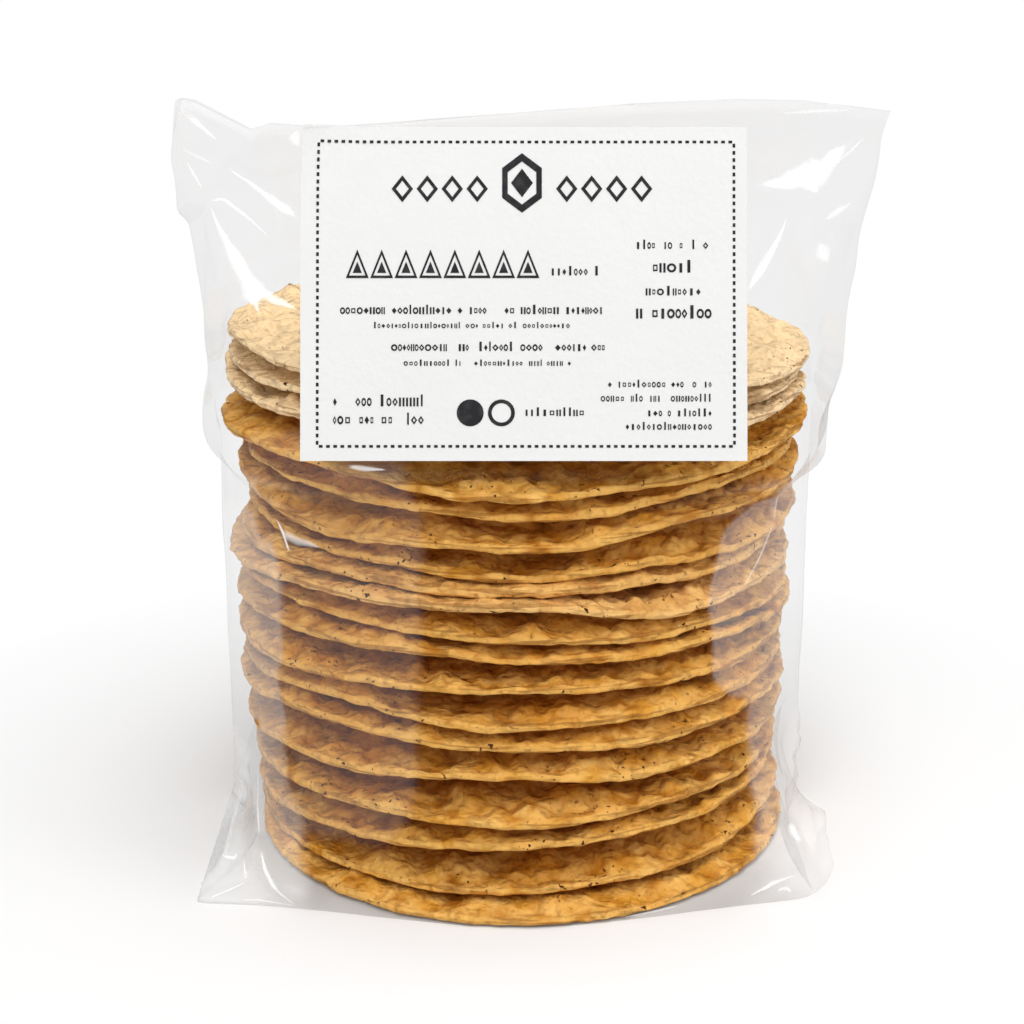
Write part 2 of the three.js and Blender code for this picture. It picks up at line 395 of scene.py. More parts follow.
def disc_rings(order):
    """Rings of points over the face, round the lip and back under, with their attributes."""
    tostada = TOSTADAS[order]

    def along_rim(number, cell):
        return noise_round(around, tostada["radius"], order + number, cell)

    noises = {name: along_rim(*facts) for name, facts in RIM_NOISE.items()}
    wobble = EDGE_WOBBLE * (noises["wobble"] + FINE_SHARE * noises["fine_wobble"])
    nibble = EDGE_NIBBLE * (noises["nibble"] + FINE_SHARE * noises["fine_nibble"])
    radius = edge_radius(tostada, order, around) + nibble
    low = rims[order] + wobble * (order > 0)
    high = low + RIM_THICK * (THICKNESS["least"] + THICKNESS["thick"] * noises["thick"]
                              + THICKNESS["fine_thick"] * noises["fine_thick"])
    above = rims[order + 1] - rims[order] - RIM_THICK if order + 1 < len(rims) else np.full(AROUND, FREE_ABOVE)
    below = rims[order] - rims[order - 1] - RIM_THICK if order else np.full(AROUND, 0.0)
    lip = RIM_THICK / 2
    shares = np.sort(1 - np.linspace(0.0, 1.0, FACE_RINGS) ** RING_CROWDING)[1:]
    rings = []
    for side, edge, gap in ((1, high, above), (-1, low, below)):
        centre = edge.mean() + CENTRE_RISE
        face = []
        for share in shares:
            r = (radius - lip) * share
            z = mix(centre, edge, share ** FACE_CURVE) - side * LIP_PROUD * smooth(1 - share, 0.0, LIP["proud_over"])
            allowed = np.clip(RELIEF["least"] + RELIEF["per_gap"] * gap, RELIEF["least"], RELIEF["most"])
            allowed = allowed * (1 if side > 0 else RELIEF["under"] * (order > 0))
            relief = side * allowed * mix(RELIEF["at_edge"], 1, smooth(1 - share, 0, RELIEF["grows_over"]))
            face.append((r, z, relief, 1 - (radius - r) / EDGE_BAND))
        rings.append(face)
    middle = (low + high) / 2
    around_lip = []
    for step in range(LIP_STEPS):
        bend = math.radians(90 - 180 * (step + 1) / (LIP_STEPS + 1))
        flaky = LAYERS["depth"] * along_rim(LAYERS["step"] * (step + 1), LAYERS["cell"]) * math.cos(bend)
        around_lip.append((radius - lip + lip * math.cos(bend) ** LIP["square"] + flaky,
                           middle + (high - low) / 2 * math.sin(bend),
                           np.full(AROUND, LIP["relief"] * math.sin(bend)), np.ones(AROUND)))
    return rings[0] + around_lip + rings[1][::-1]


def point_attribute(mesh, name, values):
    data = mesh.attributes.new(name, "FLOAT", "POINT")
    data.data.foreach_set("value", np.asarray(values, np.float32))


def disc_mesh(order):
    """The plain disc as a mesh: its rings joined by quads, with a fan over each face's middle."""
    points, relief, edge = [], [], []
    for r, z, push, near in disc_rings(order):
        x = r * np.cos(around)
        y = r * np.sin(around)
        pressed = np.where(z > LABEL["bottom"] - PRESSED_BELOW_LABEL, np.maximum(y, front_at(x, z) + PRESSED), y)
        points.append(np.stack([x, pressed, z], axis=1))
        relief.append(push)
        edge.append(near)
    count = len(points)
    low, high = points[-1].mean(axis=0), points[0].mean(axis=0)
    vertices = np.concatenate(points + [[high, low]]) * MM
    faces = []
    for row in range(count - 1):
        for i in range(AROUND):
            j = (i + 1) % AROUND
            a, b = row * AROUND, (row + 1) * AROUND
            faces.append((a + i, b + i, b + j, a + j))
    for i in range(AROUND):
        j = (i + 1) % AROUND
        faces.append((count * AROUND, i, j))
        faces.append((count * AROUND + 1, (count - 1) * AROUND + j, (count - 1) * AROUND + i))
    mesh = bpy.data.meshes.new(f"tostada_{order + 1:02d}")
    mesh.from_pydata(vertices.tolist(), [], faces)
    for name, rows, ends in (("relief", relief, (0.5, 0.0)), ("edge", edge, (0.0, 0.0))):
        point_attribute(mesh, name, np.concatenate([np.concatenate(rows), ends]))
    mesh.shade_smooth()
    return mesh


print("one disc has", len(disc_rings(0)), "rings of", AROUND, "points")

# %% [markdown]
# ## Blisters
# In the hot oil the dough puffs into soft blisters of many sizes. They repeat over every
# face by one rule, so a Geometry Nodes tree makes them: rounded Voronoi domes and a
# broader swell push each point up or down, and the height is kept as an attribute that
# the colour uses later to paint shade into the low hollows.

# %% Blister tree
DOME = {"reach": 0.85, "power": 2.4, "share": 0.58}
BEAD = {"finer": 2.2, "reach": 0.8, "power": 2.0, "share": 0.42}
SWELL = {"broader": 0.45, "puffs": (0.36, 0.60, 0.45, 1.0), "sinks": (0.3, 0.7, -0.8, 0.0)}
DOME_STIR = 0.005


def blister_tree():
    tree = bpy.data.node_groups.new("blisters", "GeometryNodeTree")
    ids = {"Mesh": tree_input(tree, "Mesh", "NodeSocketGeometry", None)}
    for name, kind, value in (
        ("Height", "NodeSocketFloat", 0.0011), ("Blister Size", "NodeSocketFloat", 0.0085),
        ("Seed", "NodeSocketFloat", 0.0), ("Finish", "NodeSocketMaterial", None),
    ):
        ids[name] = tree_input(tree, name, kind, value)
    tree.interface.new_socket(name="Mesh", in_out="OUTPUT", socket_type="NodeSocketGeometry")
    inside = tree.nodes.new("NodeGroupInput").outputs
    place = add_node(tree, "GeometryNodeInputPosition").outputs["Position"]
    shift = add_node(tree, "ShaderNodeCombineXYZ", {"Z": inside["Seed"]}).outputs["Vector"]
    moved = add_node(tree, "ShaderNodeVectorMath", {0: place, 1: shift}, operation="ADD").outputs["Vector"]
    scale = compute(tree, "DIVIDE", 1.0, inside["Blister Size"])
    broad_scale = compute(tree, "MULTIPLY", scale, SWELL["broader"])
    fine_scale = compute(tree, "MULTIPLY", scale, BEAD["finer"])
    swell = add_node(tree, "ShaderNodeTexNoise", {"Vector": moved, "Scale": broad_scale, "Detail": 2.0})
    stir = add_node(tree, "ShaderNodeTexNoise", {"Vector": moved, "Scale": scale, "Detail": 1.0})
    stir = add_node(tree, "ShaderNodeVectorMath", {0: stir.outputs["Color"], "Scale": DOME_STIR},
                    operation="SCALE").outputs["Vector"]
    stirred = add_node(tree, "ShaderNodeVectorMath", {0: moved, 1: stir}, operation="ADD").outputs["Vector"]
    domes = add_node(tree, "ShaderNodeTexVoronoi", {"Vector": stirred, "Scale": scale}).outputs["Distance"]
    small = add_node(tree, "ShaderNodeTexVoronoi", {"Vector": stirred, "Scale": fine_scale}).outputs["Distance"]
    dome, bead = (compute(tree, "MULTIPLY", compute(tree, "SUBTRACT", 1.0, compute(
        tree, "POWER", between(tree, distance, 0.0, kind["reach"]), kind["power"])), kind["share"])
        for distance, kind in ((domes, DOME), (small, BEAD)))
    lump = compute(tree, "ADD", dome, bead)
    lump = compute(tree, "MULTIPLY", lump, between(tree, swell.outputs["Fac"], *SWELL["puffs"]))
    lift = compute(tree, "ADD", lump, between(tree, swell.outputs["Fac"], *SWELL["sinks"]))
    relief = add_node(tree, "GeometryNodeInputNamedAttribute", {"Name": "relief"}, data_type="FLOAT")
    push = compute(tree, "MULTIPLY", compute(tree, "MULTIPLY", lift, inside["Height"]),
                   relief.outputs["Attribute"])
    kept = add_node(tree, "GeometryNodeStoreNamedAttribute",
                    {"Geometry": inside["Mesh"], "Name": "lump", "Value": lump}, data_type="FLOAT")
    offset = add_node(tree, "ShaderNodeCombineXYZ", {"Z": push}).outputs["Vector"]
    raised = add_node(tree, "GeometryNodeSetPosition", {"Geometry": kept.outputs["Geometry"], "Offset": offset})
    real = add_node(tree, "GeometryNodeRealizeInstances", {"Geometry": raised.outputs["Geometry"]})
    done = add_node(tree, "GeometryNodeSetMaterial",
                    {"Geometry": real.outputs["Geometry"], "Material": inside["Finish"]})
    tree.links.new(done.outputs["Geometry"], tree.nodes.new("NodeGroupOutput").inputs[0])
    return tree, ids


def grown_mesh(source, tree, ids, **values):
    """The mesh that a Geometry Nodes tree makes of a source mesh, plain and unlinked."""
    holder = bpy.data.objects.new("holder", source)
    bpy.context.scene.collection.objects.link(holder)
    modifier = holder.modifiers.new("grow", "NODES")
    modifier.node_group = tree
    for name, value in values.items():
        modifier[ids[name]] = value
    bpy.context.view_layer.update()
    result = bpy.data.meshes.new_from_object(holder.evaluated_get(bpy.context.evaluated_depsgraph_get()))
    bpy.data.objects.remove(holder)
    return result


blisters, blister_ids = blister_tree()
print("blister tree has", len(blisters.nodes), "nodes")

# %% [markdown]
# ## Toasted corn
# Fried corn dough is golden, paler in broad puffed patches and along the lip, and flecked
# with char and bran. Painted shade browns the hollows between blisters and the seams
# between small bubbles, and a painted highlight makes the top three discs paler, as light
# from above would. The colour could be painted on an image, but node masks stay sharp on
# nineteen discs at once. Every colour follows Object coordinates or the attributes of the
# disc, so no two look alike.

# %% Corn finish
# deep and bran brown also serve as painted shade in the hollows and seams; top is a painted highlight for the top
# three discs.
CORN = {
    "gold": (0.72, 0.335, 0.042, 1), "pale": (0.87, 0.495, 0.128, 1), "deep": (0.47, 0.155, 0.006, 1),
    "orange": (0.68, 0.255, 0.016, 1), "lip": (0.82, 0.455, 0.115, 1), "bran": (0.25, 0.078, 0.005, 1),
    "char": (0.070, 0.018, 0.004, 1), "top": (0.97, 0.76, 0.48, 1),
}
CORN_PATCHES = {
    "puffed": (190.0, 0.36, 0.62, 2.0), "painted_seam_shade": (150.0, 0.42, 0.60), "orange": (42.0, 0.54, 0.70),
    "lip": (110.0, 0.36, 0.52), "bran": (800.0, 0.60, 0.70), "clusters": (110.0, 0.50, 0.56),
    "char": (900.0, 0.665, 0.705), "pores": (520.0, 0.3, 0.7),
}


def corn_patch(tree, place, name):
    return mottle(tree, place, *CORN_PATCHES[name])


def corn_color(tree, place, lump, edge, tone_and_painted_top_light, bubbles):
    """From the broadest patches to the finest flecks, each laid over the last."""
    patch = corn_patch(tree, place, "puffed")
    color = blend_colors(tree, patch, CORN["gold"], CORN["pale"])
    # Painted shade: low hollows between blisters turn deep brown, and the lowest ones bran brown.
    painted_hollow_shade = compute(tree, "MULTIPLY", between(tree, lump, 0.50, 0.05), between(tree, patch, 1.0, 0.15))
    color = blend_colors(tree, painted_hollow_shade, color, CORN["deep"])
    color = blend_colors(tree, between(tree, lump, 0.24, 0.10, 0.0, 0.5), color, CORN["bran"])
    # Painted shade: the seams between small bubbles, where the bump dips, turn deep brown.
    painted_seam_shade = compute(tree, "MULTIPLY", between(tree, bubbles, 0.42, 0.72), corn_patch(tree, place, "painted_seam_shade"))
    color = blend_colors(tree, share_of(tree, painted_seam_shade, 0.75), color, CORN["deep"])
    color = blend_colors(tree, share_of(tree, corn_patch(tree, place, "orange"), 0.4), color, CORN["orange"])
    at_lip = compute(tree, "MULTIPLY", between(tree, edge, 0.86, 1.0, 0.0, 0.75), corn_patch(tree, place, "lip"))
    color = blend_colors(tree, at_lip, color, CORN["lip"])
    # Painted highlight: the top three discs are made paler, as if lit more from above; the other discs vary a little
    # at random.
    color = blend_colors(tree, between(tree, tone_and_painted_top_light, 0.0, 1.0, 0.0, 0.85), color, CORN["top"])
    color = blend_colors(tree, share_of(tree, corn_patch(tree, place, "bran"), 0.30), color, CORN["bran"])
    flecks = compute(tree, "MULTIPLY", corn_patch(tree, place, "char"), corn_patch(tree, place, "clusters"))
    char = compute(tree, "MULTIPLY", flecks, between(tree, edge, 0.2, 0.95, 0.2, 1.0))
    return blend_colors(tree, char, color, CORN["char"])


def corn_material():
    material, tree = new_material("toasted_corn")
    place = object_place(tree)
    lump, edge, tone_and_painted_top_light = (attribute(tree, name) for name in ("lump", "edge", "tone_and_painted_top_light"))
    stir = add_node(tree, "ShaderNodeTexNoise", {"Vector": place, "Scale": 420.0, "Detail": 1.0}).outputs["Color"]
    stir = add_node(tree, "ShaderNodeVectorMath", {0: stir, "Scale": 0.0016}, operation="SCALE").outputs["Vector"]
    stirred = add_node(tree, "ShaderNodeVectorMath", {0: place, 1: stir}, operation="ADD").outputs["Vector"]
    bubbles = add_node(tree, "ShaderNodeTexVoronoi", {"Vector": stirred, "Scale": 290.0}).outputs["Distance"]
    color = corn_color(tree, place, lump, edge, tone_and_painted_top_light, bubbles)
    flat = add_node(tree, "ShaderNodeMapping", {"Vector": place, "Scale": (60.0, 60.0, 1300.0)}).outputs["Vector"]
    layers = compute(tree, "MULTIPLY", mottle(tree, flat, 1.0, 0.3, 0.7), between(tree, edge, 0.94, 1.0))
    pores = corn_patch(tree, place, "pores")
    color = blend_colors(tree, between(tree, layers, 0.62, 0.80, 0.0, 0.6), color, CORN["bran"])
    height = compute(tree, "ADD", pores, compute(tree, "MULTIPLY", layers, 0.6))
    height = compute(tree, "SUBTRACT", share_of(tree, height, 0.7), compute(tree, "MULTIPLY", bubbles, 2.2))
    bump = add_node(tree, "ShaderNodeBump", {"Height": height, "Strength": 0.75, "Distance": 0.0008})
    shader = add_node(tree, "ShaderNodeBsdfPrincipled", {
        "Base Color": color, "Roughness": between(tree, pores, 0.0, 1.0, 0.40, 0.65), "Normal": bump.outputs["Normal"],
        "Specular IOR Level": 0.12,
    })
    to_surface(tree, shader.outputs["BSDF"])
    return material


corn = corn_material()
print("corn finish has", len(corn.node_tree.nodes), "nodes")

# %% [markdown]
# ## Stack them
# Each plain disc goes through the blister tree with a seed of its own. The result is kept
# as a plain mesh, one piece for each tostada, standing for the CAD solid of the bag.

# %% Make the tostadas
BLISTER = {"Height": 0.0015, "Blister Size": 0.0058}
BLISTER_SPREAD = (0.8, 1.3)
SEED_STEP = 0.31
# The top three discs get a painted highlight, a tone that pushes them to the pale top colour; the others vary at
# random.
TONE = {"top": 0.9, "top_discs": 3, "others": (-0.4, 0.2)}
TONES = random.Random(7)


def add_piece(name, mesh, node):
    piece = bpy.data.objects.new(name, mesh)
    bpy.context.scene.collection.objects.link(piece)
    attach(piece, "root")
    if node:
        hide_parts(node)
    return piece


for order in range(len(TOSTADAS)):
    plain = disc_mesh(order)
    tone_and_painted_top_light = TONE["top"] if order >= len(TOSTADAS) - TONE["top_discs"] else TONES.uniform(*TONE["others"])
    point_attribute(plain, "tone_and_painted_top_light", np.full(len(plain.vertices), tone_and_painted_top_light))
    blistered = grown_mesh(plain, blisters, blister_ids, Finish=corn, Seed=SEED_STEP * order, Height=BLISTER["Height"],
                           **{"Blister Size": BLISTER["Blister Size"] * TONES.uniform(*BLISTER_SPREAD)})
    blistered.name = f"tostada_{order + 1:02d}"
    add_piece(f"tostada_{order + 1:02d}", blistered, "bag")
    bpy.data.meshes.remove(plain)
print(len(TOSTADAS), "tostadas stacked")

# %% [markdown]
# ## The film bag
# The film hangs as a tube round the stack, folds down each side, stands on four pointed
# ears at its foot, and closes over the stack like a tent up to a flat seam. Cloth
# simulation could hang it, but the crisp film keeps the flat facets and sharp creases
# that packing gave it, so it is lofted: a ring of points at each level, from the foot up.

# %% Film sizes
FILM_COLUMNS = 480
FILM_LEVELS = 207
CLEARANCE = 0.9
DRAPE = 0.03
SMOOTHING = 5
EAR = {"left": 64.3, "right": 62.0, "front": 52.0, "back": 50.5, "corner": 9.0, "angle": 38.0, "spread": 15.0,
       "front_spread": 26.0}
LEFT_EAR = [(0.0, 1.0), (6.0, 0.72), (12.0, 0.45), (18.0, 0.20), (24.0, 0.0)]
RIGHT_EAR = [(0.0, 0.78), (3.0, 0.90), (7.5, 1.0), (12.0, 0.92), (17.0, 0.68), (22.0, 0.38), (29.0, 0.0)]
TUCK = {"below": 1.6, "in": 1.3}
SIDE_FOLD = {"left": 59.0, "right": 57.2, "spread": 9.0, "proud": 0.8}
SHOULDER = 90.0
LEFT_EDGE = [(101.5, 57.2), (115.0, 57.8), (124.8, 59.4), (127.9, 61.4), (137.0, 61.0), (143.0, 60.2), (146.0, 59.0)]
RIGHT_EDGE = [(101.5, 58.7), (115.0, 59.9), (126.6, 61.8), (133.0, 62.6), (139.0, 62.9), (146.0, 63.2)]
FRONT_PANEL = {"from": 74.0, "to": 89.0, "corner": 4.5, "before_label": 3}
TENT = {"from": 95.0, "rim": 101.5, "radius": 58.4, "bulge": 1.25, "round": 2, "corner": 2.2}
SEAM = {"height": 146.0, "thick": 0.6}
SEAM_LINE = [(-61.0, 145.5), (-59.0, 147.8), (-56.5, 147.4), (-46.8, 142.6), (-43.5, 143.6), (-34.5, 143.4),
             (-20.0, 144.3), (0.0, 145.9), (20.0, 147.5), (37.0, 148.2), (48.0, 148.0), (63.0, 146.2)]
FLOOR_GAP = 0.05
LEAST_HULL = 50.0
SIDEWAYS = (0.8, 0.97)
PANEL_SLACK = {"most": 1.4, "from": 84.0}


def seam_height(x):
    """The top edge: an ear at the left, a dip beside it, then a long rise to the right."""
    return np.interp(x, *zip(*SEAM_LINE))


def bell(value, middle, spread):
    return np.exp(-(((value - middle) / spread) ** 2))


def squared(angle, width, depth, corner):
    """A rounded rectangle: a larger corner value gives sharper corners."""
    c, s = np.cos(angle), np.sin(angle)
    return (width * np.sign(c) * np.abs(c) ** (2 / corner), depth * np.sign(s) * np.abs(s) ** (2 / corner))


def blur(grid, reach):
    """Averages over neighbours, round the ring and up the levels."""
    for _ in range(2):
        grid = sum(np.roll(grid, k, axis=1) for k in range(-reach, reach + 1)) / (2 * reach + 1)
        padded = np.pad(grid, ((reach, reach), (0, 0)), mode="edge")
        grid = sum(padded[k:k + grid.shape[0]] for k in range(2 * reach + 1)) / (2 * reach + 1)
    return grid


# %% Film round the stack and over it
film_angles = np.linspace(0, 2 * math.pi, FILM_COLUMNS, endpoint=False)
film_rims = rim_heights(film_angles) + RIM_THICK / 2
film_radii = np.array([edge_radius(t, k, film_angles) for k, t in enumerate(TOSTADAS)])


def lower_film(angle, level):
    """Hugs the rims, with a fold down each side and an ear at each corner of the foot."""
    hull = np.max([r - DRAPE * (level - z) ** 2 for r, z in zip(film_radii, film_rims)], axis=0)
    tucked = TUCK["in"] * (1 - smooth(level, 0, TUCK["below"]))
    hull = blur(np.maximum(hull, LEAST_HULL), SMOOTHING) + CLEARANCE - tucked
    from_side = np.degrees(np.arcsin(np.abs(np.sin(angle))))
    width = np.where(np.cos(angle) > 0, SIDE_FOLD["right"], SIDE_FOLD["left"])
    fold = bell(from_side, 0, SIDE_FOLD["spread"]) * (np.maximum(width - hull, 0) + SIDE_FOLD["proud"])
    right, front = np.cos(angle) > 0, np.sin(angle) < 0
    spread = np.where(front & (from_side > EAR["angle"]), EAR["front_spread"], EAR["spread"])
    stands_out = np.where(right, np.interp(level, *zip(*RIGHT_EAR)), np.interp(level, *zip(*LEFT_EAR)))
    ear = bell(from_side, EAR["angle"], spread) * stands_out
    wide = np.where(right, EAR["right"], EAR["left"])
    corner_x, corner_y = squared(angle, wide, np.where(front, EAR["front"], EAR["back"]), EAR["corner"])
    return mix((hull + fold) * np.cos(angle), corner_x, ear), mix((hull + fold) * np.sin(angle), corner_y, ear)


def upper_film(angle, level):
    """From the topmost rim and the flat front panel up to the seam."""
    right, behind = np.cos(angle) > 0, np.sin(angle) > 0
    closing = smooth(level, TENT["rim"], SEAM["height"])
    rise = np.clip((level - TENT["rim"]) / (SEAM["height"] - TENT["rim"]), 0, 1)
    seam_front = LABEL["front"] + (SEAM["height"] - LABEL["bottom"]) * math.tan(LEAN)
    back = mix(TENT["radius"], seam_front + SEAM["thick"], rise ** TENT["bulge"])
    front = mix(LABEL["front"] - FRONT_PANEL["before_label"], seam_front, closing)
    width = np.where(right, np.interp(level, *zip(*RIGHT_EDGE)), np.interp(level, *zip(*LEFT_EDGE)))
    corner = mix(np.where(behind, TENT["round"], FRONT_PANEL["corner"]), TENT["corner"], closing)
    x, y = squared(angle, width, (back - front) / 2, corner)
    return x, (back + front) / 2 + y


def film_points():
    """A grid of points, a ring at each level, and which of them lie behind."""
    angle, level = np.meshgrid(film_angles, np.linspace(0, SEAM["height"], FILM_LEVELS))
    behind = np.sin(angle) > 0
    low_x, low_y = lower_film(angle, level)
    high_x, high_y = upper_film(angle, level)
    panel = smooth(level, FRONT_PANEL["from"], FRONT_PANEL["to"])
    change = np.where(behind, smooth(level, TENT["from"], TENT["rim"]), panel)
    sideways = smooth(np.abs(np.cos(angle)), *SIDEWAYS)
    x = mix(low_x, high_x, mix(change, smooth(level, SHOULDER, TENT["rim"]), sideways))
    y = mix(low_y, high_y, change)
    z = level + (seam_height(x) - SEAM["height"]) * smooth(level, TENT["rim"], SEAM["height"])
    slack = PANEL_SLACK["most"] * (1 - smooth(z, PANEL_SLACK["from"], LABEL["bottom"]))
    pane = np.where(behind, y, np.maximum(y, front_at(x, z) - slack))
    y = mix(y, pane, panel)
    return np.stack([x, y, z], axis=2), behind


film_base, film_behind = film_points()
print("film box, mm:", film_base.min(axis=(0, 1)).round(1), film_base.max(axis=(0, 1)).round(1))

# %% [markdown]
# ## Creases
# Crisp film creases where it was pinched: sharp ridges run from the label to the corners
# of the bag, and pleats gather in the ears. Each ridge is a short line with a width and a
# height. The back, which nobody arranged, gets ridges by a seeded rule.

# %% Creases of the front
FRONT_CREASES = table(("from", "to", "width", "height"), [
    ((-58.2, 148.0), (-52.0, 139.0), 3.0, 1.2),
    ((-58.2, 137.4), (-49.0, 121.0), 3.0, -1.0),
    ((-54.0, 130.0), (-40.0, 111.0), 4.5, 1.8),
    ((-51.0, 137.0), (-36.0, 128.0), 3.5, 1.4),
    ((-53.0, 131.0), (-42.0, 124.5), 2.5, -0.9),
    ((41.0, 133.5), (60.0, 141.5), 4.5, 1.8),
    ((50.0, 132.0), (60.0, 126.0), 3.5, -1.2),
    ((39.0, 116.5), (46.0, 130.5), 3.5, 1.4),
    ((51.0, 123.0), (58.0, 130.0), 3.0, 1.0),
    ((46.0, 145.0), (60.0, 146.5), 2.0, 0.7),
    ((44.0, 108.0), (56.0, 98.0), 4.0, 1.2),
    ((-43.0, 104.0), (-54.0, 92.0), 4.0, 1.2),
    ((-45.0, 73.0), (-41.0, 52.0), 3.0, 1.0),
    ((48.0, 87.0), (41.0, 58.0), 3.0, 1.0),
    ((-57.0, 9.0), (-44.0, 14.0), 2.2, 1.2),
    ((-60.0, 2.0), (-46.0, 30.0), 2.5, 1.5),
    ((58.0, 3.0), (46.0, 26.0), 2.5, 1.5),
    ((46.0, 4.0), (57.0, 8.0), 2.2, -1.0),
    ((-51.0, 4.0), (-48.0, 21.0), 1.8, 1.3),
    ((-62.0, 1.0), (-50.0, 5.5), 1.6, 1.2),
    ((-54.5, 12.0), (-52.0, 34.0), 2.2, -1.2),
    ((-47.0, 4.5), (-36.0, 0.5), 2.0, 1.2),
    ((52.0, 6.0), (58.0, 21.0), 2.2, 1.4),
    ((46.0, 14.0), (55.0, 27.0), 2.0, -1.2),
    ((40.0, 2.5), (52.0, 6.0), 1.8, 1.3),
    ((53.0, 16.0), (61.0, 12.0), 1.8, 1.0),
])
BACK_CREASES = 16
BACK_CREASE = {"x": (-45, 45), "z": (92, 138), "turn": (0.3, 2.8), "long": (14, 34), "width": (2.5, 5),
               "height": (-1.4, 1.6)}
RIDGE_ENDS = {"from": -0.5, "share": 0.25}
BUCKLE = {"cell": 26.0, "height": 1.6, "round_stack": 0.35}
BACK_SEED = 21
FREE_ABOVE_STACK = (84.0, 104.0)
FREE_OFF_LABEL = (0.5, 5.0)
FREE_OFF_FLOOR = 3.0
HELD_BY_SEAM = {"from": 8.0, "to": 1.0, "share": 0.85}


def ridge(x, z, crease):
    """1 on the line of a crease, falling to 0 over its width and towards its ends."""
    (x0, z0), (x1, z1) = crease["from"], crease["to"]
    long = math.hypot(x1 - x0, z1 - z0)
    along = ((x - x0) * (x1 - x0) + (z - z0) * (z1 - z0)) / long
    off = np.abs((x - x0) * (z1 - z0) - (z - z0) * (x1 - x0)) / long
    first, full = RIDGE_ENDS["from"], RIDGE_ENDS["share"] * long
    ends = smooth(along, first, full) * smooth(long - along, first, full)
    return np.clip(1 - off / crease["width"], 0, 1) * ends


def back_creases():
    draw = random.Random(BACK_SEED)
    found = []
    for _ in range(BACK_CREASES):
        x, z, turn, long, width, height = (draw.uniform(*reach) for reach in BACK_CREASE.values())
        found.append({"from": (x, z), "to": (x + long * math.cos(turn), z + long * math.sin(turn)),
                      "width": width, "height": height})
    return found


def buckles(points):
    """Broad soft waves of the film, from smooth noise."""
    flat = points.reshape(-1, 3) / BUCKLE["cell"]
    waves = np.array([noise.noise(Vector(p)) + 0.5 * noise.noise(Vector(p) * 2.3) for p in flat])
    return waves.reshape(points.shape[:2])


print(len(FRONT_CREASES), "creases in front,", len(back_creases()), "behind")

# %% Bend the film
def outward(points):
    """The unit direction out of the film at every point of its grid."""
    up = np.gradient(points, axis=0)
    round_ring = (np.roll(points, -1, axis=1) - np.roll(points, 1, axis=1)) / 2
    normal = np.cross(round_ring, up)
    return normal / np.maximum(np.linalg.norm(normal, axis=2, keepdims=True), 1e-9)


def film_push(points, behind):
    """How far each point is pushed out by waves and creases, less where label, seam or floor hold it."""
    x, y, z = points[:, :, 0], points[:, :, 1], points[:, :, 2]
    above = smooth(z, *FREE_ABOVE_STACK)
    waves = buckles(points)
    push = mix(np.abs(waves) * BUCKLE["round_stack"], waves * BUCKLE["height"], above)
    for crease in FRONT_CREASES:
        push += np.where(behind, 0, crease["height"] * ridge(x, z, crease))
    for crease in back_creases():
        push += np.where(behind, crease["height"] * ridge(x, z, crease), 0)
    beside = np.abs(x - LABEL["middle"]) - LABEL["width"] / 2
    above_or_below = np.maximum(LABEL["bottom"] - z, z - LABEL_TOP)
    free = np.where(behind, 1, smooth(np.maximum(beside, above_or_below), *FREE_OFF_LABEL))
    seam = seam_height(x)
    held = smooth(z, seam - HELD_BY_SEAM["from"], seam - HELD_BY_SEAM["to"]) * HELD_BY_SEAM["share"]
    return push * free * (1 - held) * smooth(z, 0, FREE_OFF_FLOOR)


film_place = film_base + outward(film_base) * film_push(film_base, film_behind)[:, :, None]
film_place[:, :, 2] = np.maximum(film_place[:, :, 2], FLOOR_GAP)


def film_mesh(points, hazy):
    """The grid as a mesh, closed flat over its seam and under its foot."""
    levels, columns = points.shape[:2]
    faces = []
    for row in range(levels - 1):
        a, b = row * columns, (row + 1) * columns
        faces += [(a + i, a + (i + 1) % columns, b + (i + 1) % columns, b + i) for i in range(columns)]
    last = (levels - 1) * columns
    for i in range(1, columns // 2 - 1):
        j = columns - i
        faces.append((i, j, j - 1, i + 1))
        faces.append((last + i, last + i + 1, last + j - 1, last + j))
    half = columns // 2
    faces += [(0, columns - 1, 1), (last, last + 1, last + columns - 1)]
    faces += [(half - 1, half + 1, half), (last + half, last + half + 1, last + half - 1)]
    mesh = bpy.data.meshes.new("film")
    mesh.from_pydata((points.reshape(-1, 3) * MM).tolist(), [], faces)
    point_attribute(mesh, "veil", hazy.reshape(-1))
    mesh.shade_smooth()
    return mesh


# Veils are haze where film lies doubled, and partly a painted reflection of the bright room.
VEILS = table(("from", "to", "widths", "white", "soft"), [
    ((-53.0, 60.0), (-53.5, 20.0), (10.8, 7.5), 0.19, 1.8),
    ((-36.0, 76.0), (-32.0, 26.0), (21.0, 14.0), 0.045, 3.0),
    ((-50.0, 30.0), (-45.0, 6.0), (6.0, 6.0), 0.16, 3.0),
    ((56.0, 78.0), (54.0, 30.0), (9.0, 9.5), 0.15, 1.4),
    ((46.0, 64.0), (47.0, 47.0), (12.0, 12.0), 0.13, 0.9),
    ((46.0, 44.0), (50.0, 12.0), (5.5, 7.0), 0.14, 3.0),
    ((-62.0, 22.0), (-56.0, 0.0), (8.0, 16.0), 0.34, 9.0),
    ((60.0, 24.0), (55.0, 0.0), (9.0, 16.0), 0.24, 9.0),
])
VEIL_WAVE = {"cell": 9.0, "high": 3.0}
SEAM_BAND = {"deep": 2.0, "fade": 0.6, "white": 0.10}


